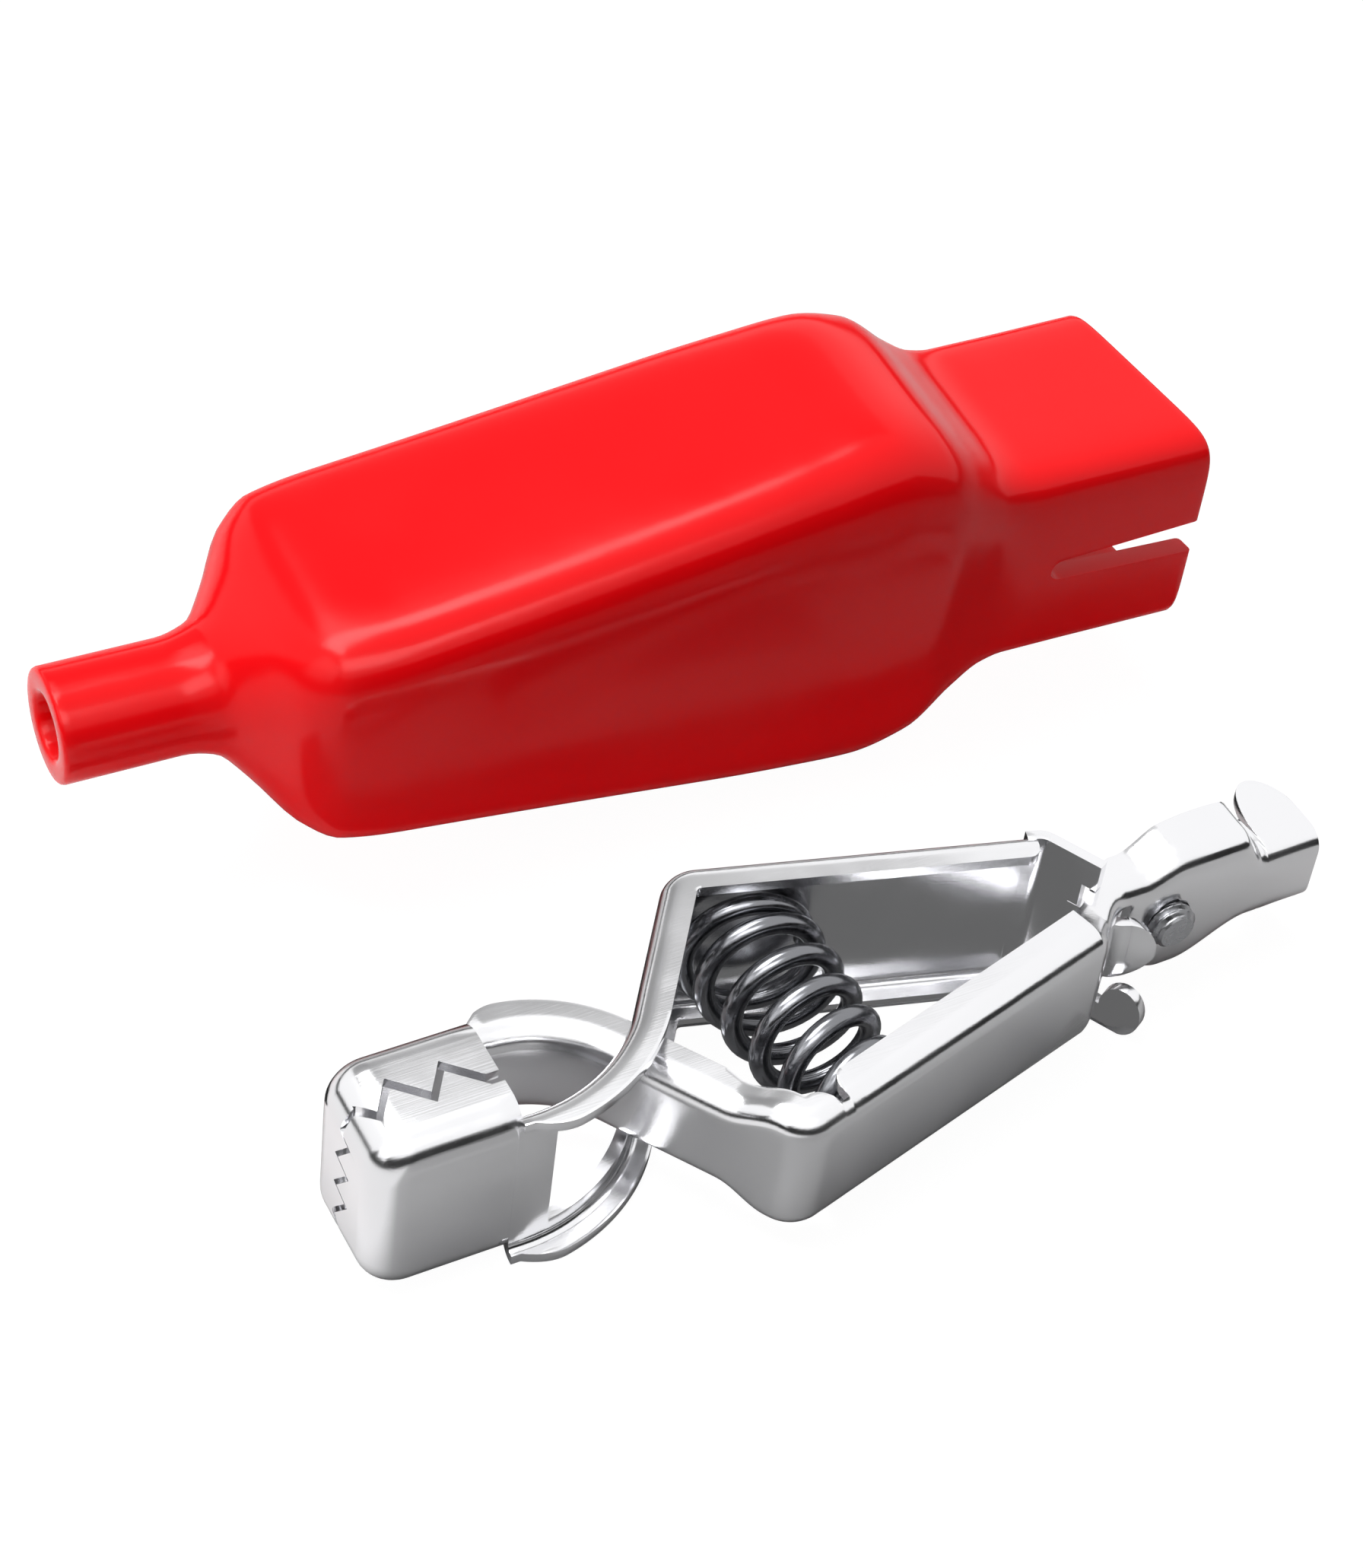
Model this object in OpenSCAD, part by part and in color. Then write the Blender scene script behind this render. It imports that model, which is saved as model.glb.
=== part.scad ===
// Crocodile clip of folded sheet steel, with its soft boot pulled off and lying behind it.
// Millimetres. The clip lies on its side: X runs from nose to tail, Y is the way the jaws
// spread and Z is across its width, with the table at Z = 0.
// Clip places are measured from the middle of the closed nose, and Z from mid-width.

/* [Sheet metal] */
// Thickness of the sheet steel
sheet = 0.8; // [0.6:0.1:1]
// Outer radius where a flange folds up from its web
fold_r = 1.3; // [1.1:0.1:1.6]
// Width of the windowed lever and of both jaws
clip_w = 14; // [12:0.5:17]

/* [Jaws] */
// Length of the jaws
jaw_len = 10.2; // [9:0.2:12]
// Thickness of the two closed jaws together
jaw_pair = 9.4; // [8.2:0.2:11.8]
// Radius of the nose's corners, seen along the spread
nose_r = 3; // [2:0.1:3.6]
// Distance from tooth to tooth along the sides
tooth_pitch = 3.7; // [3:0.1:4.2]
// Height of the side teeth
tooth_h = 2.1; // [1.6:0.1:2.6]
// Gap along the spread between the teeth of the two sides
side_gap = 0.9; // [0.4:0.1:1.1]
// Distance from tooth to tooth across the nose
nose_pitch = 2.8; // [2.4:0.1:3]
// Height of the nose's teeth
nose_tooth_h = 1.7; // [1:0.1:2.2]
// Gap along the spread between the teeth of the nose
nose_gap = 0.45; // [0.3:0.05:0.8]

/* [Levers] */
// Nose to where the necks leave the line of the jaws
neck_x = 16.2; // [15.2:0.2:18]
// Nose to the front edge of the window
window_x = 12.6; // [11.6:0.2:13.6]
// Bend radius of the necks there
neck_r = 8; // [6:0.5:8]
// Nose to the back corner, on the windowed lever
back_corner_x = 28; // [26:0.2:32]
// Nose to the front corner, on the tail lever
front_corner_x = 26.8; // [25:0.2:31]
// Clip axis to the back corner
back_spread = 11.2; // [10:0.2:13]
// Clip axis to the front corner
front_spread = 11.8; // [10.6:0.2:13.6]
// Outer bend radius of both corners
corner_r = 2.8; // [2.6:0.1:3.4]
// Nose to the hinge
hinge_x = 56.4; // [50:0.2:66]
// Clip axis to the rear bend of the windowed lever
rear_spread = 4.4; // [3.6:0.1:6]
// Depth of the windowed lever's flanges
arm_flange = 2.4; // [2:0.1:2.6]
// Width of the neck that passes through the window
neck_w = 8; // [7:0.2:9]
// Gap between the neck and each arm of the window
window_gap = 0.6; // [0.4:0.1:1]
// Depth of the neck's flanges
neck_flange = 3; // [2.2:0.1:3.2]
// Width of the front handle
handle_w = 10.6; // [9.6:0.2:11.6]
// Depth of the front handle's flanges at its corner
handle_flange_front = 3; // [2.4:0.1:3.4]
// Depth of the front handle's flanges at the hinge
handle_flange_rear = 3.2; // [2.4:0.1:3.6]

/* [Tail] */
// Hinge to the end of the tail
tail_len = 17.4; // [15:0.2:20]
// Clip axis to the front of the tail's web
tail_front = 1.1; // [0.6:0.1:1.6]
// Width of the tail at the hinge
tail_w = 9.2; // [8.6:0.2:9.4]
// Width of the tail at the crimp
crimp_w = 6.4; // [6:0.2:8]
// Angle between the tail's web and the clip axis
tail_angle = 1; // [0:0.5:3]
// Depth of the tail's flanges
tail_flange = 4.2; // [3:0.1:4.6]
// Length of the crimp ears
ear_len = 4.3; // [3.4:0.1:5]
// Depth of the crimp ears
ear_depth = 6.8; // [5.6:0.1:8]

/* [Hinge] */
// Width of the tongue that hooks through the tail lever
tongue_w = 5.6; // [4.4:0.2:6.2]
// How far the tongue reaches past the hinge
tongue_len = 2.9; // [2.4:0.1:3.2]
// Angle between tongue and tail when shut, which the clip opens by
opening = 14; // [10:0.5:16]
// Gap round the tongue in its slot
slot_gap = 0.3; // [0.25:0.05:0.5]

/* [Spring] */
// Diameter of the spring's wire
wire_d = 1.4; // [1.1:0.1:1.6]
// Outer diameter of the spring at the back handle
spring_back_od = 10.8; // [9:0.2:11.6]
// Outer diameter of the spring at the front handle
spring_front_od = 8.6; // [7.6:0.2:8.8]
// Nose to the middle of the spring's back seat
spring_back_x = 34.4; // [34:0.2:40]
// Nose to the middle of the spring's front seat
spring_front_x = 35.6; // [35:0.2:40]
// Turns between the two closed ends
spring_turns = 4.5; // [3.5:0.5:5.5]

/* [Screw] */
// Diameter of the terminal screw
screw_d = 3.5; // [3:0.1:4]
// Diameter of its head
screw_head_d = 5.6; // [5.4:0.1:6.2]
// Height of its head
screw_head_h = 1.7; // [1.4:0.1:2.2]
// Length of its tip past the front of the tail
screw_tip = 2.1; // [1.4:0.1:3]
// Hinge to the screw
screw_x = 5.1; // [5.1:0.1:6]

/* [Boot] */
// Length of the boot
boot_len = 84; // [82:0.5:90]
// Wall of the boot
boot_wall = 1.6; // [1.2:0.1:1.8]
// Outer diameter of the cable tube
tube_od = 8.2; // [7.6:0.1:9.4]
// Bore of the cable tube
bore_d = 4.8; // [4:0.1:5.2]
// Length of the cable tube
tube_len = 11; // [9:0.5:13]
// Length of the shoulder between tube and body
shoulder_len = 6.6; // [5.6:0.2:9]
// Width of the body
boot_w = 22; // [20:0.2:24]
// Height of the body at the shoulder
boot_low_h = 18.6; // [17:0.2:21]
// Height of the body before the bulge
boot_mid_h = 26.4; // [24:0.2:28]
// Height of the bulge over the clip's corners
boot_h = 30.2; // [28.8:0.2:32]
// Tube end to the top of the bulge
bulge_x = 57.8; // [56:0.2:60]
// Tube end to the start of the nose
boot_nose_x = 70; // [68:0.2:72]
// Width of the nose
boot_nose_w = 18; // [17.4:0.2:20]
// Height of the nose
boot_nose_h = 17.6; // [16:0.2:19]
// Length of the slots in the sides of the nose
slot_len = 11.7; // [9:0.1:14]
// Height of the slots at the mouth
slot_mouth_h = 2.4; // [1.6:0.1:3.4]
// Height of the slots at their inner end
slot_end_h = 1; // [0.8:0.1:1.6]

/* [Layout] */
// Middle of the boot behind the clip's axis
boot_back = 35.6; // [34:0.2:50]
// Middle of the boot past the middle of the clip, along X
boot_ahead = -0.3; // [-20:0.1:10]
// Turn of the boot seen from above
boot_yaw = -2; // [-8:0.5:8]
// Dip of the boot's tube end towards the table, where the boot rests on its bulge
boot_tilt = 0; // [0:0.5:8]

/* [Hidden] */
$fn = 48;
cut = 40;             // longer than anything that is cut through
seat_gap = 0.08;      // spring end to its seat
thread_gap = 0.05;    // screw to its hole
proud = 0.02;         // step where two plates run into each other, so that no faces coincide
steel = "Silver";
dark_steel = "DimGray";
red = "Crimson";

// Inner face of the jaws' webs, which both necks carry on
jaw_in = jaw_pair / 2 - sheet;
window_w = neck_w + 2 * window_gap;
clip_len = hinge_x + tail_len * cos(tail_angle);

function heading(a, b) = atan2(b.y - a.y, b.x - a.x);
function left_of(angle) = [-sin(angle), cos(angle)];
function ahead_of(angle) = [cos(angle), sin(angle)];
function between(a, b, share) = a + share * (b - a);
// Turn at b on the way from a to c, to the left positive
function turn(a, b, c) =
    let (d = heading(b, c) - heading(a, b)) d > 180 ? d - 360 : d < -180 ? d + 360 : d;
// Length that a bend of radius r takes off both stretches at b
function bend_trim(a, b, c, r) = r * tan(abs(turn(a, b, c)) / 2);

// A strip is a list of stations [place of its outer face, heading, width, flange depth].
// This is one straight end, and this a bend of radius r at b on the way from a to c
function station(p, angle, w, d) = [p, angle, w, d];
function bend(a, b, c, r, w, d, steps = 8) =
    let (h = heading(a, b), sweep = turn(a, b, c), side = sign(sweep),
         start = b - bend_trim(a, b, c, r) * ahead_of(h), centre = start + side * r * left_of(h))
    [for (i = [0:steps]) let (angle = h + sweep * i / steps)
        station(centre - side * r * left_of(angle), angle, w, d)];

// Half outline of a channel, from the free edge of one flange to that of the other:
// X from the outer face into the channel, Y across the width
fold_steps = 4;
function fold_line(w, d, inset) =
    let (c = [fold_r, w / 2 - fold_r], r = fold_r - inset,
         half = concat([[d, c.y + r]], [for (i = [0:fold_steps])
             let (angle = 90 + 90 * i / fold_steps) c + r * ahead_of(angle)]))
    concat(half, [for (i = [len(half) - 1:-1:0]) [half[i].x, -half[i].y]]);

// Sheet folded along the stations: an outer and an inner skin joined at their four rims
module folded_strip(stations) {
    ring = 2 * (fold_steps + 2);
    last = len(stations) - 1;
    points = [for (st = stations) each [for (inset = [0, sheet]) each
        [for (q = fold_line(st[2], st[3], inset))
            let (p = st[0] + q.x * left_of(st[1])) [p.x, p.y, q.y]]]];
    function at(i, skin, k) = (2 * i + skin) * ring + k;
    function quad(a, b, c, d) = [[a, b, c], [a, c, d]];
    faces = concat(
        [for (i = [0:last - 1], k = [0:ring - 2]) each
            quad(at(i, 0, k), at(i, 0, k + 1), at(i + 1, 0, k + 1), at(i + 1, 0, k))],
        [for (i = [0:last - 1], k = [0:ring - 2]) each
            quad(at(i, 1, k), at(i + 1, 1, k), at(i + 1, 1, k + 1), at(i, 1, k + 1))],
        [for (i = [0:last - 1]) each
            quad(at(i, 0, 0), at(i + 1, 0, 0), at(i + 1, 1, 0), at(i, 1, 0))],
        [for (i = [0:last - 1]) each
            quad(at(i, 0, ring - 1), at(i, 1, ring - 1), at(i + 1, 1, ring - 1), at(i + 1, 0, ring - 1))],
        [for (k = [0:ring - 2]) each quad(at(0, 0, k), at(0, 1, k), at(0, 1, k + 1), at(0, 0, k + 1))],
        [for (k = [0:ring - 2]) each
            quad(at(last, 0, k), at(last, 0, k + 1), at(last, 1, k + 1), at(last, 1, k))]);
    polyhedron(points, [for (f = faces) [f[2], f[1], f[0]]]);
}

// Seam between the jaws. Side teeth rise steeply and fall slowly, from the nose to the rear
seam_level = 0.4;
tooth_rise = 0.38 * tooth_pitch;
first_tooth_x = 1.9;
side_teeth = floor((jaw_len - first_tooth_x) / tooth_pitch);
side_seam = concat([[-1, seam_level], [sheet + 0.1, seam_level]],
    [for (i = [0:side_teeth - 1]) let (x = first_tooth_x + i * tooth_pitch)
        each [[x, -tooth_h / 2], [x + tooth_rise, tooth_h / 2]]],
    [[first_tooth_x + side_teeth * tooth_pitch, -tooth_h / 2], [jaw_len + 2, -tooth_h / 2]]);
nose_teeth = 3;
nose_seam = concat([[-clip_w, seam_level], [-nose_pitch * nose_teeth / 2 - 0.3, seam_level]],
    [for (i = [0:nose_teeth - 1]) let (z = (i - nose_teeth / 2) * nose_pitch)
        each [[z, -nose_tooth_h / 2], [z + nose_pitch - 0.5, nose_tooth_h / 2]]],
    [[nose_pitch * nose_teeth / 2 + 0.2, seam_level], [clip_w, seam_level]]);

module seam_region(seam, shift, far) {
    first = seam[0];
    last = seam[len(seam) - 1];
    polygon(concat([for (p = seam) [p.x, p.y + shift]], [[last.x, far], [first.x, far]]));
}

// The half box of a jaw, drawn in by inset, with its web towards +Y
module jaw_box(inset) {
    w = clip_w - 2 * inset;
    half = jaw_pair / 2 - inset;
    r = fold_r - inset / 2;
    nose_edge_r = 1.7 - inset / 2;
    corner = nose_r - inset;
    intersection() {
        // rounded along the two folds
        translate([jaw_len + inset, 0, 0]) rotate([0, -90, 0]) linear_extrude(jaw_len + 2 * inset) union() {
            translate([-w / 2, -half]) square([w, 2 * half - r]);
            translate([r - w / 2, -half]) square([w - 2 * r, 2 * half]);
            for (s = [-1, 1]) translate([s * (w / 2 - r), half - r]) circle(r);
        }
        // rounded nose corners, seen along the spread
        rotate([90, 0, 0]) linear_extrude(cut, center = true) union() {
            translate([inset + corner, -w / 2]) square([jaw_len + cut, w]);
            translate([inset, corner - w / 2]) square([jaw_len + cut, w - 2 * corner]);
            for (s = [-1, 1]) translate([inset + corner, s * (w / 2 - corner)]) circle(corner);
        }
        // rounded edge between nose and web, seen across the width
        linear_extrude(cut, center = true) union() {
            translate([inset, -half]) square([jaw_len + cut, 2 * half - nose_edge_r]);
            translate([inset + nose_edge_r, -half]) square([jaw_len + cut, 2 * half]);
            translate([inset + nose_edge_r, half - nose_edge_r]) circle(nose_edge_r);
        }
    }
}

// A jaw keeps what lies towards +Y (side = 1) or towards -Y (side = -1) of the seam
module jaw(side) {
    far = side * cut;
    nose_wall = sheet + 0.1;
    intersection() {
        mirror([0, side > 0 ? 0 : 1, 0]) difference() {
            jaw_box(0);
            jaw_box(sheet);
        }
        union() {
            translate([nose_wall, 0, 0]) rotate([0, -90, 0])
                linear_extrude(cut) seam_region(nose_seam, side * nose_gap / 2, far);
            intersection() {
                linear_extrude(cut, center = true) seam_region(side_seam, side * side_gap / 2, far);
                translate([nose_wall, -cut, -cut]) cube([cut, 2 * cut, 2 * cut]);
            }
        }
    }
}

// Plain plate along the stations, w wide, with its faces drawn in by inset
module plain_strip(stations, w, inset) {
    outer = [for (st = stations) st[0] + inset * left_of(st[1])];
    inner = [for (i = [len(stations) - 1:-1:0]) stations[i][0] + (sheet - inset) * left_of(stations[i][1])];
    translate([0, 0, -w / 2]) linear_extrude(w) polygon(concat(outer, inner));
}

// Windowed lever, drawn with Y turned over so that its flanges are to the left
lip = fold_r + 0.1;   // a flange no deeper than its fold
lip_rise = 2.6;       // length over which the flanges grow behind the jaws
rear_r = 1.8;
tongue_r = 0.9;
window_end = 4;       // window to back corner
shoulder_w = 2.1;     // width of the two shoulders beside the tail lever
shoulder_past = 2.2;  // how far they reach past the front of its web
neck_start = [jaw_len - 0.4, jaw_in + proud];
// Radius of a neck's bend, or as much of it as there is room for behind the jaws
function gentle(r, corner, next) =
    min(r, (corner.x - neck_start.x - 0.9) / tan(abs(turn(neck_start, corner, next)) / 2));
arm_turn = [neck_x + 0.7, jaw_in + proud];
back_corner = [back_corner_x, -back_spread];
arm_r = gentle(neck_r + 5, arm_turn, back_corner);
rear_bend = [hinge_x - 2.9, -rear_spread];
tongue_root = [hinge_x + 0.2, tail_front + 0.12];
tongue_angle = opening - tail_angle + 1;
tongue_tip = tongue_root + tongue_len * ahead_of(tongue_angle);
back_angle = heading(back_corner, rear_bend);
plate_angle = heading(rear_bend, tongue_root);
arm_end = rear_bend - (bend_trim(back_corner, rear_bend, tongue_root, rear_r) + 0.1) * ahead_of(back_angle);

windowed_stations = concat(
    [station(neck_start, 0, clip_w, lip), station(neck_start + [0.7, 0], 0, clip_w, lip)],
    [for (st = bend(neck_start, arm_turn, back_corner, arm_r, clip_w, arm_flange, 14))
        let (share = min(1, max(0, (st[0].x - neck_start.x - 0.7) / lip_rise)))
        station(st[0], st[1], clip_w, lip + (arm_flange - lip) * sin(90 * share))],
    bend(arm_turn, back_corner, rear_bend, corner_r, clip_w, arm_flange),
    [for (i = [0:3]) station(arm_end - (0.9 - 0.3 * i) * ahead_of(back_angle), back_angle,
        clip_w, lip + (arm_flange - lip) * sqrt(1 - i * i / 9))]);

module window() {
    end = back_corner - window_end * ahead_of(heading(arm_turn, back_corner));
    aside = left_of(heading(arm_turn, back_corner));
    translate([0, 0, -window_w / 2]) linear_extrude(window_w)
        polygon([[window_x, 20], end + 20 * aside, end - 12 * aside, [window_x, -15]]);
}

module rear_plate() {
    plate_end = tongue_root + (shoulder_past + 0.2) / sin(plate_angle) * ahead_of(plate_angle);
    rear = bend(back_corner, rear_bend, tongue_root, rear_r, clip_w, lip, 6);
    inner_w = clip_w - 2 * shoulder_w;
    difference() {
        plain_strip(concat([station(arm_end - 0.6 * ahead_of(back_angle), back_angle, clip_w, lip)],
            rear, [station(plate_end, plate_angle, clip_w, lip)]), clip_w - proud, proud);
        // room for the tail lever between the shoulders
        translate([tongue_root.x - 5, tail_front - fold_r - 0.6, -inner_w / 2]) cube([10, 10, inner_w]);
        // rounded ends of the shoulders
        translate([plate_end.x, plate_end.y, 0]) rotate(plate_angle) for (s = [-1, 1])
            rotate([0, 90, 90]) translate([s * (clip_w - shoulder_w) / 2, 0, -cut / 2])
                linear_extrude(cut) difference() {
                    translate([-shoulder_w / 2 - 0.1, -shoulder_w / 2 - 0.1])
                        square([shoulder_w + 0.2, shoulder_w]);
                    translate([0, -shoulder_w / 2 - 0.1]) circle(shoulder_w / 2);
                }
    }
}

// Tongue with a half-round tip, from the rear plate through the slot of the tail lever
module tongue() {
    start = tongue_root - 3 / sin(plate_angle) * ahead_of(plate_angle);
    intersection() {
        plain_strip(concat([station(start, plate_angle, tongue_w, lip)],
            bend(start, tongue_root, tongue_tip, tongue_r, tongue_w, lip, 5),
            [station(tongue_tip, tongue_angle, tongue_w, lip)]), tongue_w, 2 * proud);
        rotate([-90, 0, 0]) translate([0, 0, -cut / 2]) linear_extrude(cut) union() {
            translate([start.x - 5, -tongue_w / 2])
                square([tongue_tip.x - tongue_w / 2 - start.x + 5, tongue_w]);
            translate([tongue_tip.x - tongue_w / 2, 0]) circle(tongue_w / 2 - proud);
        }
    }
}

module windowed_lever() {
    color(steel) place_clip() {
        jaw(-1);
        mirror([0, 1, 0]) {
            difference() {
                folded_strip(windowed_stations);
                window();
            }
            rear_plate();
            tongue();
        }
    }
}

// Tail lever
neck_turn = [neck_x, jaw_in + proud];
front_corner = [front_corner_x, -front_spread];
along_tail = ahead_of(tail_angle);
tail_root = [hinge_x - 0.3, -tail_front];
tail_end = tail_root + (tail_len + 0.3) * along_tail;
// The web steps over from the handle to the tail in a double curve
jog_len = 4.4;
jog_low = [hinge_x - 3.2, -tail_front - 3.5];
jog_high = tail_root + (jog_len - 2.9) * along_tail;
neck_angle = heading(neck_turn, front_corner);
front_angle = heading(front_corner, jog_low);
corner_trim = bend_trim(neck_turn, front_corner, jog_low, corner_r);
neck_end = front_corner - (corner_trim + 1.6) * ahead_of(neck_angle);
handle_start = front_corner + (corner_trim + 0.5) * ahead_of(front_angle);
crimp_start = tail_end - ear_len * along_tail;
taper_start = jog_high + 0.8 * along_tail;
ear_round = 1.6;      // how far the ears' ends drop

tail_stations = concat(
    [station(neck_start, 0, neck_w, lip), station(neck_start + [0.7, 0], 0, neck_w, lip)],
    [for (st = bend(neck_start, neck_turn, front_corner, gentle(neck_r, neck_turn, front_corner),
            neck_w, neck_flange, 14))
        let (share = min(1, max(0, (st[0].x - neck_start.x - 0.7) / lip_rise)))
        station(st[0], st[1], neck_w, lip + (neck_flange - lip) * sin(90 * share))],
    [for (i = [0:4]) station(neck_end + (i - 4) * 0.35 * ahead_of(neck_angle), neck_angle,
        neck_w, lip + (neck_flange - lip) * sqrt(1 - i * i / 16))],
    [for (i = [1:3]) station(neck_end + i * 0.4 * ahead_of(neck_angle), neck_angle,
        neck_w + (handle_w - neck_w) * (1 - cos(60 * i)) / 2, lip)],
    bend(neck_turn, front_corner, jog_low, corner_r, handle_w, lip),
    [station(handle_start, front_angle, handle_w, lip),
     station(handle_start + 0.2 * ahead_of(front_angle), front_angle, handle_w, handle_flange_front)],
    [for (i = [0:10]) let (share = i / 10, over = (1 - cos(180 * share)) / 2,
            full = handle_flange_rear + (tail_flange * 0.8 - handle_flange_rear) * share)
        station(between(jog_low + share * jog_len * ahead_of(front_angle),
                jog_high - (1 - share) * jog_len * along_tail, over),
            front_angle + (tail_angle - front_angle) * over,
            tail_w + (handle_w - tail_w) * max(0, 1 - share * 3),
            full - (full - lip - 0.2) * sin(180 * share))],
    [for (i = [0:6]) let (share = i / 6)
        station(between(taper_start, crimp_start - 0.3 * along_tail, share), tail_angle,
            tail_w + (crimp_w - tail_w) * (1 - cos(180 * share)) / 2,
            tail_flange * (0.8 + 0.2 * sin(120 * share)))],
    [for (i = [0:8]) let (share = i / 8, side = 2 * share - 1)
        station(between(crimp_start, tail_end, share), tail_angle, crimp_w,
            ear_depth - ear_round * (1 - sqrt(1 - side * side * 0.98)))]);

// Frame of the screw: origin on the front of the tail's web, +Z into the channel
module place_screw() {
    p = tail_root + (screw_x + 0.3) * along_tail;
    translate([p.x, p.y, 0]) rotate(tail_angle) rotate([-90, 0, 0]) children();
}

module tail_lever() {
    slot_w = tongue_w + 2 * slot_gap;
    slot_from = tongue_root.x - sheet - slot_gap - 0.5;
    color(steel) place_clip() {
        jaw(1);
        difference() {
            folded_strip(tail_stations);
            translate([slot_from, -tail_front - 2.6, -slot_w / 2])
                cube([hinge_x + 1.4 - slot_from, 5, slot_w]);
            place_screw() translate([0, 0, -1]) cylinder(h = sheet + 2, d = screw_d + 2 * thread_gap);
        }
    }
}

// Spring wound between the two handles. Its seats are the handles' inner faces
function on_line(p, angle, x) = p + (x - p.x) / cos(angle) * ahead_of(angle);
back_seat = let (p = on_line([back_corner.x, -back_corner.y], -back_angle, spring_back_x))
    p + (sheet + wire_d / 2 + seat_gap) * [sin(-back_angle), -cos(back_angle)];
front_seat = on_line(front_corner, front_angle, spring_front_x)
    + (sheet + wire_d / 2 + seat_gap) * left_of(front_angle);
end_pitch = wire_d + 0.08;
all_turns = spring_turns + 2;
wire_sides = 10;
turn_steps = 14;

// Share of the way from the back seat to the front seat, after so many turns
function wound(turns) =
    let (height = norm(front_seat - back_seat), pitch = (height - 2 * end_pitch) / spring_turns)
    (turns < 1 ? turns * end_pitch
        : turns < 1 + spring_turns ? end_pitch + (turns - 1) * pitch
        : height - (all_turns - turns) * end_pitch) / height;
function spring_point(turns, out, up) =
    let (share = wound(turns), angle = -back_angle + (front_angle + back_angle) * share,
         r = (spring_back_od + (spring_front_od - spring_back_od) * share - wire_d) / 2 + out,
         c = between(back_seat, front_seat, share),
         flat = r * cos(360 * turns), p = c + flat * ahead_of(angle) + up * left_of(angle))
    [p.x, p.y, r * sin(360 * turns)];

module spring() {
    last = all_turns * turn_steps;
    points = [for (i = [0:last], k = [0:wire_sides - 1]) let (angle = 360 * k / wire_sides)
        spring_point(i / turn_steps, wire_d / 2 * cos(angle), wire_d / 2 * sin(angle))];
    function at(i, k) = i * wire_sides + k % wire_sides;
    faces = concat(
        [for (i = [0:last - 1], k = [0:wire_sides - 1]) each
            [[at(i, k), at(i + 1, k), at(i + 1, k + 1)], [at(i, k), at(i + 1, k + 1), at(i, k + 1)]]],
        [[for (k = [0:wire_sides - 1]) at(0, k)]],
        [[for (k = [wire_sides - 1:-1:0]) at(last, k)]]);
    color(dark_steel) place_clip() polyhedron(points, faces);
}

module terminal_screw() {
    slot_deep = screw_head_h / 2;
    color(dark_steel) place_clip() place_screw() difference() {
        union() {
            translate([0, 0, -screw_tip]) cylinder(h = screw_tip + sheet + seat_gap + 0.2, d = screw_d);
            translate([0, 0, sheet + seat_gap]) cylinder(h = screw_head_h, d = screw_head_d);
        }
        translate([-cut / 2, -0.5, sheet + seat_gap + screw_head_h - slot_deep]) cube([cut, 1, cut]);
    }
}

// Boot, drawn from the tube's end along X with the clip's spread along Z
ring_sides = 32;
// Sections of the body: [X, width, height, squareness]
body_start = tube_len + shoulder_len;
boot_sections = [
    [tube_len, tube_od + 1, tube_od + 1, 2],
    [tube_len + shoulder_len * 0.3, boot_w * 0.6, boot_low_h * 0.66, 2.2],
    [tube_len + shoulder_len * 0.65, boot_w * 0.87, boot_low_h * 0.88, 2.8],
    [body_start, boot_w * 0.97, boot_low_h, 3.6],
    [body_start + 5, boot_w, boot_low_h * 1.06, 4.2],
    [bulge_x - 12, boot_w, boot_mid_h, 4.5],
    [bulge_x - 5, boot_w, boot_h * 0.95, 4.5],
    [bulge_x, boot_w, boot_h, 4.5],
    [bulge_x + 4, boot_w, boot_h * 0.93, 4.5],
    [boot_nose_x - 4, boot_nose_w + 1, boot_nose_h * 1.2, 5],
    [boot_nose_x, boot_nose_w, boot_nose_h, 6],
    [boot_len, boot_nose_w, boot_nose_h, 6]];
function power(v, e) = sign(v) * pow(abs(v), 2 / e);
// A smooth section between the ones named above
function section_at(x, i = 0) =
    x > boot_sections[i + 1][0] && i < len(boot_sections) - 2 ? section_at(x, i + 1)
    : let (a = boot_sections[i], b = boot_sections[i + 1])
        between(a, b, (x - a[0]) / (b[0] - a[0]));
function boot_ring(s, inset, x) = [for (k = [0:ring_sides - 1])
    let (angle = 360 * (k + 0.5) / ring_sides)
    [x, (s[1] / 2 - inset) * power(cos(angle), s[3]), (s[2] / 2 - inset) * power(sin(angle), s[3])]];
boot_stations = [for (i = [0:len(boot_sections) - 2]) let (a = boot_sections[i], b = boot_sections[i + 1],
    parts = i == len(boot_sections) - 2 ? 3 : 2) for (j = [0:parts - 1]) between(a[0], b[0], j / parts),
    boot_len];
outer_rings = [for (x = boot_stations) boot_ring(section_at(x), 0, x)];
inner_rings = [for (x = boot_stations)
    boot_ring(section_at(x), boot_wall, x == tube_len ? x : min(boot_len, x + boot_wall * 0.5))];

module boot_shell() {
    n = len(boot_stations);
    rings = concat(outer_rings, [for (i = [n - 1:-1:0]) inner_rings[i]]);
    points = [for (ring = rings) each ring];
    function at(i, k) = (i % (2 * n)) * ring_sides + k % ring_sides;
    polyhedron(points, [for (i = [0:2 * n - 1], k = [0:ring_sides - 1]) each
        [[at(i, k), at(i + 1, k), at(i + 1, k + 1)], [at(i, k), at(i + 1, k + 1), at(i, k + 1)]]]);
}

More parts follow.
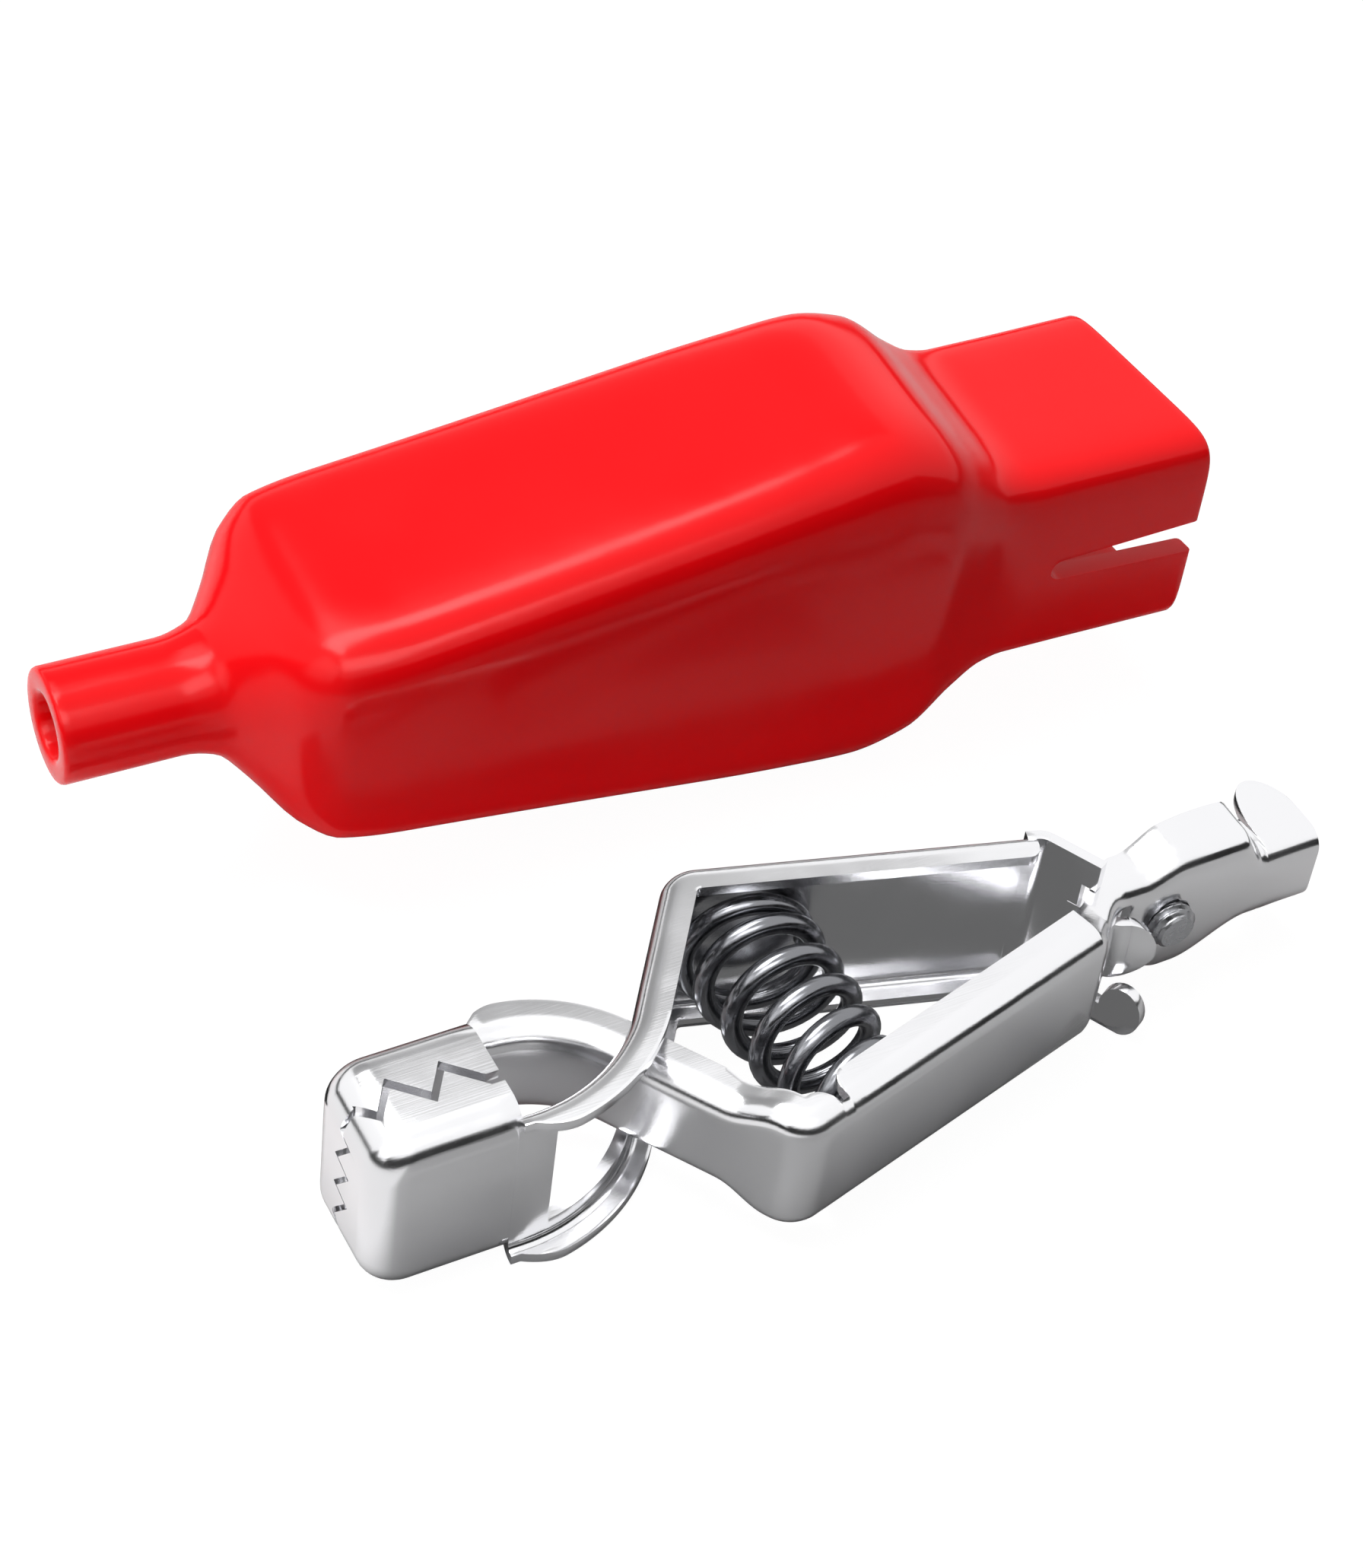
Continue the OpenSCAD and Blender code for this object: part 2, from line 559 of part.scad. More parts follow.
module boot_body() {
    difference() {
        union() {
            boot_shell();
            difference() {
                rotate([0, 90, 0]) cylinder(h = tube_len + 1.2, d = tube_od);
                translate([-1, 0, 0]) rotate([0, 90, 0]) cylinder(h = tube_len + 3, d = bore_d);
            }
        }
        // slots in both sides of the nose, open at the mouth
        translate([boot_len - slot_len, cut / 2, 0]) rotate([90, 0, 0]) linear_extrude(cut)
            polygon([[0, -slot_end_h / 2], [cut, -slot_mouth_h / 2 * cut / slot_len],
                [cut, slot_mouth_h / 2 * cut / slot_len], [0, slot_end_h / 2]]);
    }
}

// Layout: the boot rests on the table behind the clip, and the bottom middle of the
// whole model is the origin
function turned(p) =
    let (x = p.x * cos(boot_tilt) - p.z * sin(boot_tilt), z = p.x * sin(boot_tilt) + p.z * cos(boot_tilt))
    [x * cos(boot_yaw) - p.y * sin(boot_yaw), x * sin(boot_yaw) + p.y * cos(boot_yaw), z];
tube_ring = [for (k = [0:47]) [0, tube_od / 2 * cos(7.5 * k), tube_od / 2 * sin(7.5 * k)]];
boot_points = [for (ring = concat(outer_rings, [tube_ring]), p = ring) turned(p - [boot_len / 2, 0, 0])];
clip_points = concat([for (st = tail_stations) st[0]],
    [for (st = windowed_stations) [st[0].x, -st[0].y]], [[0, jaw_pair / 2], [0, -jaw_pair / 2]]);
boot_middle = [clip_len / 2 + boot_ahead, boot_back];
function span(values) = [min(values), max(values)];
function middle(a, b) = (min(a[0], b[0]) + max(a[1], b[1])) / 2;
boot_span = [for (axis = [0, 1]) span([for (p = boot_points) p[axis] + boot_middle[axis]])];
clip_span = [for (axis = [0, 1]) span([for (p = clip_points) p[axis]])];
model_middle = [for (axis = [0, 1]) middle(boot_span[axis], clip_span[axis])];
boot_drop = min([for (p = boot_points) p.z]);

module place_clip() {
    translate([-model_middle.x, -model_middle.y, clip_w / 2]) children();
}

module boot() {
    color(red) translate([boot_middle.x - model_middle.x, boot_middle.y - model_middle.y, -boot_drop])
        rotate(boot_yaw) rotate([0, -boot_tilt, 0]) translate([-boot_len / 2, 0, 0]) boot_body();
}

windowed_lever();
tail_lever();
spring();
terminal_screw();
boot();
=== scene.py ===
import bpy
import bmesh
import math
import numpy as np
from mathutils import Matrix, Vector


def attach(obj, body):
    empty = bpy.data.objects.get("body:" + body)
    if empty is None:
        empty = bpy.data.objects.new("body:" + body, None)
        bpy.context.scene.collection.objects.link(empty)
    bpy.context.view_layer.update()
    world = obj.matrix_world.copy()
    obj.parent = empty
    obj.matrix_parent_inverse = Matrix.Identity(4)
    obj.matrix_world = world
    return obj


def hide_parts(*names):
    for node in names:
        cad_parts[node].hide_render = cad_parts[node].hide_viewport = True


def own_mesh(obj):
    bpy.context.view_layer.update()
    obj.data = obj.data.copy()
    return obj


# Crocodile clip on its side, with its vinyl boot pulled off and lying behind it.
# Shapes are worked out in millimetres and become metres when a mesh is made.
# The clip's own places run from the middle of its closed nose: X to the tail,
# Y the way the jaws spread, Z across its width.
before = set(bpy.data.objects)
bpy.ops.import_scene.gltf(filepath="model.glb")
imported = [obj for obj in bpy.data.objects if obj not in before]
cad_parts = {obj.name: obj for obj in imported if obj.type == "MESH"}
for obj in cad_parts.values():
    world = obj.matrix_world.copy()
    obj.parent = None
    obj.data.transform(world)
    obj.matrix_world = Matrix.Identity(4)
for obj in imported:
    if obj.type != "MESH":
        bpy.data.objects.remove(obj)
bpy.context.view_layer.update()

placing = {
    "clipMiddle": (36.6839, 17.9387),  # middle of the whole model in the clip's own places
    "halfWidth": 7.0,                  # the clip lies on its side, half its width up
    "bootMiddle": (36.5987, 35.6),
    "bootRise": 15.0676,               # height of the boot's middle line over the table
    "bootYaw": -2.0,
}


def onTable(points):
    # clip place to place on the table: shift by the middle of the model
    return points + np.array([-placing["clipMiddle"][0], -placing["clipMiddle"][1], placing["halfWidth"]])


# Nodes and colours
def linearColour(hexText):
    # each sRGB channel: c / 12.92 when dark, otherwise ((c + 0.055) / 1.055) ^ 2.4
    channels = [int(hexText[i:i + 2], 16) / 255 for i in (1, 3, 5)]
    return tuple(c / 12.92 if c <= 0.04045 else ((c + 0.055) / 1.055) ** 2.4 for c in channels) + (1.0,)


def addNode(tree, kind, links=None, **settings):
    # adds a node, sets it up, and gives its inputs numbers, colours, sockets or the first output
    # of other nodes
    node = tree.nodes.new("ShaderNode" + kind)
    for key, value in settings.items():
        setattr(node, key, value)
    for name, value in (links or {}).items():
        socket = node.inputs[name]
        value = value.outputs[0] if isinstance(value, bpy.types.Node) else value
        if isinstance(value, bpy.types.NodeSocket):
            tree.links.new(value, socket)
        else:
            socket.default_value = value
    return node


def newMaterial(name):
    material = bpy.data.materials.new(name)
    material.use_nodes = True
    tree = material.node_tree
    tree.nodes.clear()
    return material, tree


# Meshes and modifiers
def addObject(name, data):
    thing = bpy.data.objects.new(name, data)
    bpy.context.scene.collection.objects.link(thing)
    return thing


def meshObject(name, points, faces, material):
    # points in millimetres on the table; faces as rows of corner numbers
    mesh = bpy.data.meshes.new(name)
    mesh.from_pydata((np.asarray(points) * 0.001).tolist(), [], [list(map(int, f)) for f in faces])
    mesh.materials.append(material)
    mesh.update()
    return addObject(name, mesh)


def closedPiece(name, points, faces, material=None):
    # closed skin from points in the clip's own places, its faces turned outwards
    piece = meshObject(name, onTable(points), faces, material or sheetMaterial)
    work = bmesh.new()
    work.from_mesh(piece.data)
    bmesh.ops.recalc_face_normals(work, faces=work.faces)
    work.to_mesh(piece.data)
    work.free()
    return piece


def gridFaces(rows, columns, closedRows=False, closedColumns=False):
    # quads of a grid whose point number is row * columns + column
    i = np.arange(rows - (not closedRows))[:, None]
    j = np.arange(columns - (not closedColumns))
    nextI, nextJ = (i + 1) % rows, (j + 1) % columns
    corners = [i * columns + j, nextI * columns + j, nextI * columns + nextJ, i * columns + nextJ]
    return np.stack(corners, -1).reshape(-1, 4)


def tubeFaces(rows, n):
    # rings of n points, with one face over each end
    return gridFaces(rows, n, closedColumns=True).tolist() \
        + [list(range(n))[::-1], [(rows - 1) * n + k for k in range(n)]]


def acrossRing(first, n):
    # quads over a ring of n points, from its first half to its second half read backwards
    return [[first + k, first + k + 1, first + n - 2 - k, first + n - 1 - k] for k in range(n // 2 - 1)]


def prism(name, outline, low, high, origin=(0, 0, 0), axes=np.eye(3), mirrored=False, material=None):
    # outline along the first two axes, carried from low to high along the third
    outline = np.asarray(outline, float)
    n = len(outline)
    places = np.concatenate([np.column_stack([outline, np.full(n, end)]) for end in (low, high)])
    points = (np.array(origin) + places @ np.asarray(axes)) * (1, -1 if mirrored else 1, 1)
    faces = [list(range(n)), list(range(2 * n - 1, n - 1, -1))] \
        + [[k, (k + 1) % n, (k + 1) % n + n, k + n] for k in range(n)]
    return closedPiece(name, points, faces, material)


def addModifier(piece, kind, **settings):
    modifier = piece.modifiers.new(kind.title(), kind)
    for key, value in settings.items():
        setattr(modifier, key, value)


def applyModifiers(piece):
    view = bpy.context.evaluated_depsgraph_get()
    view.update()
    old, made = piece.data, bpy.data.meshes.new_from_object(piece.evaluated_get(view), depsgraph=view)
    piece.modifiers.clear()
    piece.data = made
    bpy.data.meshes.remove(old)


def cutAway(piece, cutters):
    for cutter in cutters:
        addModifier(piece, "BOOLEAN", operation="DIFFERENCE", solver="EXACT", object=cutter)
    applyModifiers(piece)
    for cutter in cutters:
        bpy.data.objects.remove(cutter)
    return piece


def breakEdges(piece, width, segments, degrees):
    # a small bevel, in millimetres, along the edges that turn by more than the angle
    addModifier(piece, "BEVEL", width=width * 0.001, segments=segments, limit_method="ANGLE",
                angle_limit=math.radians(degrees), use_clamp_overlap=True)
    applyModifiers(piece)


def smoothShade(piece, degrees):
    # smooth everywhere but across edges that turn by more than the angle
    mesh = piece.data
    mesh.polygons.foreach_set("use_smooth", np.ones(len(mesh.polygons), bool))
    work = bmesh.new()
    work.from_mesh(mesh)
    for edge in work.edges:
        edge.smooth = len(edge.link_faces) == 2 and edge.calc_face_angle(0) < math.radians(degrees)
    work.to_mesh(mesh)
    work.free()


# Directions in the clip's plane, and two ways to go from 0 to 1
def headingOf(a, b):
    return math.atan2(b[1] - a[1], b[0] - a[0])


def aheadOf(angle):
    return np.stack([np.cos(angle), np.sin(angle)], -1)


def leftOf(angle):
    return np.stack([-np.sin(angle), np.cos(angle)], -1)


def axesAt(angle):
    # ahead at the angle, across the clip's width, and to the left
    return np.array([[*aheadOf(angle), 0], [0, 0, 1], [*leftOf(angle), 0]])


def halfWave(share):
    # (1 - cos(180 degrees * share)) / 2
    return (1 - np.cos(np.pi * share)) / 2


def smoothStep(x, start, over):
    # 0 up to the start, 3 r^2 - 2 r^3 along the stretch after it, and 1 from there on
    share = np.clip((x - start) / over, 0, 1)
    return share * share * (3 - 2 * share)


# Nickel-plated mild steel strip, rolled, pressed and barrel plated: a bright, slightly soft
# mirror that waves a little on the flats, with the faint drawn lines of the rolling
sheetLook = {
    "colour": "#F0F0F2", "rough": (0.1275, 0.2295),
    # sizes and depths in mm
    "lineSize": 0.12, "lineLength": 6.0, "lineStrength": 0.12, "lineDepth": 0.04,
    "clouds": 7.0, "waves": 5.0, "waveDepth": 0.08,
}


def nickelSheet():
    look = sheetLook
    material, tree = newMaterial("nickelPlatedSheetSteel")
    place = addNode(tree, "TexCoord").outputs["Object"]
    # drawn lines along the strip
    across, along = 1000 / look["lineSize"], 1000 / look["lineLength"]
    drawn = addNode(tree, "Mapping", {"Vector": place, "Scale": (along, across, across)})
    lines = addNode(tree, "TexNoise", {"Vector": drawn, "Scale": 1.0, "Detail": 3.0, "Roughness": 0.6})
    # clouds of handling make it duller and brighter
    clouds = addNode(tree, "TexNoise", {"Vector": place, "Scale": 1000 / look["clouds"], "Detail": 4.0})
    rough = addNode(tree, "MapRange", {
        "Value": clouds, "From Min": 0.3, "From Max": 0.7,
        "To Min": look["rough"][0], "To Max": look["rough"][1]})
    # pressing leaves the flats gently uneven
    waves = addNode(tree, "TexNoise", {"Vector": place, "Scale": 1000 / look["waves"], "Detail": 1.0})
    uneven = addNode(tree, "Bump", {"Height": waves, "Strength": 1.0, "Distance": look["waveDepth"] * 0.001})
    bump = addNode(tree, "Bump", {
        "Height": lines, "Strength": look["lineStrength"], "Distance": look["lineDepth"] * 0.001,
        "Normal": uneven})
    shader = addNode(tree, "BsdfPrincipled", {
        "Base Color": linearColour(look["colour"]), "Metallic": 1.0, "Roughness": rough, "Normal": bump})
    addNode(tree, "OutputMaterial", {"Surface": shader})
    return material


# Spring steel wire, drawn and hardened: grey and smooth, so each coil carries one bright line
springLook = {"colour": "#85868A", "rough": (0.144, 0.27), "grain": 0.6, "detail": 4.0}

# Machine-screw steel, turned and zinc plated: grey with a slightly milky shine
screwLook = {"colour": "#B4B5B8", "rough": (0.216, 0.378), "grain": 0.5, "detail": 5.0}


def grainedMetal(name, look):
    # its roughness varies with a grain so many millimetres across
    material, tree = newMaterial(name)
    place = addNode(tree, "TexCoord").outputs["Object"]
    grain = addNode(tree, "TexNoise", {
        "Vector": place, "Scale": 1000 / look["grain"], "Detail": look["detail"]})
    rough = addNode(tree, "MapRange", {
        "Value": grain, "From Min": 0.3, "From Max": 0.7,
        "To Min": look["rough"][0], "To Max": look["rough"][1]})
    shader = addNode(tree, "BsdfPrincipled", {
        "Base Color": linearColour(look["colour"]), "Metallic": 1.0, "Roughness": rough})
    addNode(tree, "OutputMaterial", {"Surface": shader})
    return material


# Soft PVC, dip moulded: saturated colour under a wet-looking, slightly uneven gloss
bootLook = {
    "colour": "#FA0812", "deep": "#F0060E", "rough": (0.153, 0.216), "ior": 1.53, "specular": 0.2,
    "clouds": 12.0, "ripple": 2.6, "rippleStrength": 0.25, "rippleDepth": 0.08,  # mm
    "soft": 0.05, "softScale": 0.002, "softRadius": (1.0, 0.15, 0.1),
}


def dippedVinyl():
    look = bootLook
    material, tree = newMaterial("dippedVinyl")
    place = addNode(tree, "TexCoord").outputs["Object"]
    clouds = addNode(tree, "TexNoise", {"Vector": place, "Scale": 1000 / look["clouds"], "Detail": 2.0})
    # of a colour mix, inputs 6 and 7 are the two colours and output 2 is the result
    colour = addNode(tree, "Mix", {
        "Factor": clouds, 6: linearColour(look["colour"]), 7: linearColour(look["deep"])}, data_type="RGBA")
    # the skin ripples very slightly every couple of millimetres
    ripple = addNode(tree, "TexNoise", {"Vector": place, "Scale": 1000 / look["ripple"], "Detail": 1.0})
    bump = addNode(tree, "Bump", {
        "Height": ripple, "Strength": look["rippleStrength"], "Distance": look["rippleDepth"] * 0.001})
    rough = addNode(tree, "MapRange", {
        "Value": clouds, "From Min": 0.3, "From Max": 0.7,
        "To Min": look["rough"][0], "To Max": look["rough"][1]})
    shader = addNode(tree, "BsdfPrincipled", {
        "Base Color": colour.outputs[2], "Roughness": rough, "IOR": look["ior"],
        "Specular IOR Level": look["specular"], "Subsurface Weight": look["soft"],
        "Subsurface Scale": look["softScale"], "Subsurface Radius": look["softRadius"],
        "Normal": bump})
    addNode(tree, "OutputMaterial", {"Surface": shader})
    return material


sheetMaterial = nickelSheet()
wireMaterial = grainedMetal("drawnSpringSteelWire", springLook)
screwMaterial = grainedMetal("zincPlatedScrewSteel", screwLook)
vinylMaterial = dippedVinyl()
print("materials ready")

# Levers: strips of sheet folded into a channel along a bent path
leverSizes = {
    "sheet": 0.8, "width": 14.0, "lip": 1.4, "edge": 0.12,
    "proud": 0.02,  # a face laid on another stands this much proud of it
    "flangePoints": 14, "webPoints": 6, "acrossPoints": 13,  # of a ring
    "jawLength": 10.2, "jawOut": 4.7, "jawIn": 3.92, "jawFold": 2.2, "jawPast": 3.0, "noseCorner": 3.0,
    "sideGap": 0.9, "noseGap": 0.45,
    # the strip starts inside the jaw and runs straight at first; its flanges grow behind the jaw
    "inJaw": 0.4, "straight": 0.7, "rises": (0.3, 2.6),
}


def stations(places, angle, width, depth):
    # one row for each place on the outer face: x, y, heading, width, depth of the flanges
    places = np.atleast_2d(places)
    return np.column_stack([places] + [np.broadcast_to(v, len(places)) for v in (angle, width, depth)])


def turnAt(a, b, c):
    # turn at b on the way from a to c, to the left positive
    return (headingOf(b, c) - headingOf(a, b) + math.pi) % (2 * math.pi) - math.pi


def bendTrim(a, b, c, radius):
    # an arc of the radius at b starts radius * tan(turn / 2) before it
    return radius * math.tan(abs(turnAt(a, b, c)) / 2)


def bend(a, b, c, radius, width, depth, steps):
    # the arc at b that is tangent to both stretches
    start, sweep = headingOf(a, b), turnAt(a, b, c)
    side = math.copysign(radius, sweep)
    centre = np.array(b) - bendTrim(a, b, c, radius) * aheadOf(start) + side * leftOf(start)
    angle = start + sweep * np.linspace(0, 1, steps + 1)
    return stations(centre - side * leftOf(angle), angle, width, depth)


def neck(turn, corner, radius, width, flange, steps):
    # from inside the jaw round the bend behind it, whose radius is the one given or as much as
    # there is room for; the flanges grow from the lip on a quarter of a sine
    s = leverSizes
    start = np.array([s["jawLength"] - s["inJaw"], s["jawIn"]])
    room = (turn[0] - start[0] - 0.9) / bendTrim(start, turn, corner, 1)
    rows = bend(start, turn, corner, min(radius, room), width, s["lip"], steps)
    after, over = s["rises"]
    share = np.clip((rows[:, 0] - s["jawLength"] - after) / over, 0, 1)
    rows[:, 4] = s["lip"] + (flange - s["lip"]) * np.sin(share * np.pi / 2)
    return [stations([start, start + (s["straight"], 0)], 0, width, s["lip"]), rows]


def flangeEnd(place, angle, width, low, high, length, steps, growing=False):
    # the flanges fall from high to low, or grow, on a quarter of an ellipse
    share = np.linspace(0, 1, steps)
    depth = low + (high - low) * np.sqrt(1 - (1 - share if growing else share) ** 2)
    return stations(place + share[:, None] * length * aheadOf(angle), angle, width, depth)


def sheetPiece(name, path, off, z, mirrored):
    # a ring for each row of the path: points off it to the left, at heights z across the clip; half
    # a ring is the outer face, the rest the inner face back, and the two ends are closed
    x, y, angle = path.T[:3, :, None]
    points = np.stack([x - off * np.sin(angle), y + off * np.cos(angle), z], -1)
    rows, n = z.shape
    faces = gridFaces(rows, n, closedColumns=True).tolist() + acrossRing(0, n) + acrossRing((rows - 1) * n, n)
    return closedPiece(name, points.reshape(-1, 3) * (1, -1 if mirrored else 1, 1), faces)


def foldedStrip(name, path, fold, mirrored, lessBelow=0.0):
    # each row is a channel: flange, quarter fold, web, fold, flange
    s = leverSizes
    width, depth = path.T[3:, :, None]
    share = np.linspace(0, 1, s["flangePoints"])[None, :]
    straight = np.maximum(depth - fold, 0)
    first = np.arccos(np.clip((depth - fold) / fold, -1, 0))
    along = share * (straight + fold * (math.pi - first))
    onArc = along > straight
    arc = first + (along - straight) / fold
    middle = np.linspace(1, -1, s["webPoints"] + 2)[None, 1:-1] * (width / 2 - fold)
    skins = []
    for inset in (0, s["sheet"]):
        radius = fold - inset
        into = np.where(onArc, fold + radius * np.cos(arc), depth - along)
        side = width / 2 - np.where(onArc, fold - radius * np.sin(arc), inset)
        skins.append(np.stack([np.concatenate([into, np.full_like(middle, inset), into[:, ::-1]], 1),
                               np.concatenate([side, middle, -side[:, ::-1]], 1)]))
    off, z = np.concatenate([skins[0], skins[1][..., ::-1]], 2)
    # where the strip is narrower on its lower side, that half moves in, the web in proportion
    z += lessBelow * np.clip(-z / (width / 2 - fold), 0, 1)
    return sheetPiece(name, path, off, z, mirrored)


def flatStrip(name, path, half, dome=0.0, domeHalf=1.0):
    # flat mirrored sheet along the path, its half width one number or one for each row; towards
    # its end the dome pushes its middle out by dome * (1 - (z / domeHalf) ^ 2)
    s = leverSizes
    z = np.broadcast_to(half, len(path))[:, None] * np.linspace(-1, 1, s["acrossPoints"])
    push = dome * (1 - (z / domeHalf) ** 2) * np.linspace(0, 1, len(path))[:, None]
    off = np.concatenate([push, push[:, ::-1] + s["sheet"]], 1)
    return sheetPiece(name, path, off, np.concatenate([z, z[:, ::-1]], 1), True)


def jawShell(name, mirrored):
    # hollow half box: the wall's outline seen along the spread is a U round the nose, and its
    # rows climb the wall and then draw in over the fold onto the web
    s = leverSizes
    half, fold, length = s["width"] / 2, s["jawFold"], s["jawLength"]
    turn = np.radians(np.linspace(0, 90, 12))
    climb = np.radians(np.linspace(0, 90, 11))

    def outline(inset, height):
        corner = s["noseCorner"] - inset
        centreX, centreZ = inset + corner, half - inset - corner
        side = np.stack([np.linspace(length, centreX, 6)[:-1], np.full(5, half - inset)], -1)
        arc = np.stack([centreX - corner * np.sin(turn), centreZ + corner * np.cos(turn)], -1)
        oneSide = np.concatenate([side, arc])
        whole = np.concatenate([oneSide, oneSide[::-1] * (1, -1)])
        return np.stack([whole[:, 0], np.full(len(whole), height), whole[:, 1]], -1)

    faces, rows = [], []
    for inset in (0, s["sheet"]):
        radius = fold - inset
        rows.append(outline(inset, -s["jawPast"]))
        rows += [outline(inset + radius * (1 - math.cos(a)), s["jawOut"] - fold + radius * math.sin(a))
                 for a in climb]
    count, n = len(rows) // 2, len(rows[0])
    for skin in (0, count):
        faces += (gridFaces(count, n) + skin * n).tolist() + acrossRing((skin + count - 1) * n, n)
    # rim along the seam, and the cut edge at the jaw's rear
    faces += [[k, k + 1, count * n + k + 1, count * n + k] for k in range(n - 1)]
    for end in (0, n - 1):
        faces += [[i * n + end, (i + 1) * n + end, (i + 1 + count) * n + end, (i + count) * n + end]
                  for i in range(count - 1)]
    top, inner = (count - 1) * n, (2 * count - 1) * n
    faces.append([top, top + n - 1, inner + n - 1, inner])
    return closedPiece(name, np.concatenate(rows) * (1, -1 if mirrored else 1, 1), faces)


# Toothed seam between the jaws: two teeth on each side, three across the nose
seamSizes = {
    "level": 0.4, "pitch": 3.7, "height": 2.1, "first": 1.9, "teeth": 2, "rise": 0.38,
    "nosePitch": 2.8, "noseHeight": 1.7, "noseTeeth": 3, "noseFlat": 0.5, "noseEdges": (0.3, 0.2),
}


def makeJaw(name, side):
    # the shell on one side of the seam; the side teeth rise steeply and fall slowly
    s, t = leverSizes, seamSizes
    wall, rear, far = s["sheet"] + 0.1, s["jawLength"] + 2, 9
    high, noseHigh = t["height"] / 2, t["noseHeight"] / 2
    seam = [(wall, t["level"])]
    for i in range(t["teeth"]):
        x = t["first"] + i * t["pitch"]
        seam += [(x, -high), (x + t["rise"] * t["pitch"], high)]
    seam += [(t["first"] + t["teeth"] * t["pitch"], -high), (rear, -high)]
    seam = np.array(seam) + (0, side * s["sideGap"] / 2)
    sideCutter = prism("sideCutter", [(wall, -side * far), *seam, (rear, -side * far)], -far, far)
    half = t["nosePitch"] * t["noseTeeth"] / 2
    nose = [(-far, t["level"]), (-half - t["noseEdges"][0], t["level"])]
    for i in range(t["noseTeeth"]):
        z = (i - t["noseTeeth"] / 2) * t["nosePitch"]
        nose += [(z, -noseHigh), (z + t["nosePitch"] - t["noseFlat"], noseHigh)]
    nose += [(half + t["noseEdges"][1], t["level"]), (far, t["level"])]
    nose = np.array(nose) + (0, side * s["noseGap"] / 2)
    noseCutter = prism("noseCutter", [*nose, (far, -side * far), (-far, -side * far)], -3, wall + 0.01,
                       axes=[(0, 0, -1), (0, 1, 0), (1, 0, 0)])
    return cutAway(jawShell(name, side < 0), [sideCutter, noseCutter])


def finishLever(name, parts, body, node):
    # one object from closed shells; the cut edges of the sheet are broken, its bends shaded smooth
    work = bmesh.new()
    for part in parts:
        work.from_mesh(part.data)
        bpy.data.objects.remove(part)
    mesh = bpy.data.meshes.new(name)
    work.to_mesh(mesh)
    work.free()
    mesh.materials.append(sheetMaterial)
    piece = addObject(name, mesh)
    breakEdges(piece, leverSizes["edge"], 2, 40)
    smoothShade(piece, 50)
    addModifier(piece, "WEIGHTED_NORMAL", keep_sharp=True)
    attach(piece, body)
    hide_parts(node)
    return piece


# The lever with the window lies behind, so it is worked out in front and mirrored
windowedSizes = {
    "fold": 1.4, "flange": 2.4,
    "armTurn": (16.9, 3.92), "backCorner": (28.0, -11.2), "rearBend": (53.5, -4.4),
    "neckRadius": 13.0, "cornerRadius": 2.8, "rearRadius": 1.8, "flangeEnd": 0.9,
    "windowFrom": 12.6, "windowWidth": 9.2, "windowEnd": 4.0,
    # shoulders either side of the plate's opening; the lower one ends in a round head
    "shoulder": 2.3, "shoulderPast": 3.3, "headLong": 1.6, "headWide": 2.1,
    # how far behind the clip's middle plane the opening starts, up to a height and above it
    "opened": 1.15, "openedAbove": 0.2, "aboveFrom": 4.7,
    "tongueRoot": (56.6, 1.22), "tongueFrom": 3.0, "tongueRadius": 0.9, "tongueWidth": 5.2,
    "tongueLength": 2.9, "tongueAngle": 14.0, "dome": 0.5, "domeHalf": 2.8,
}


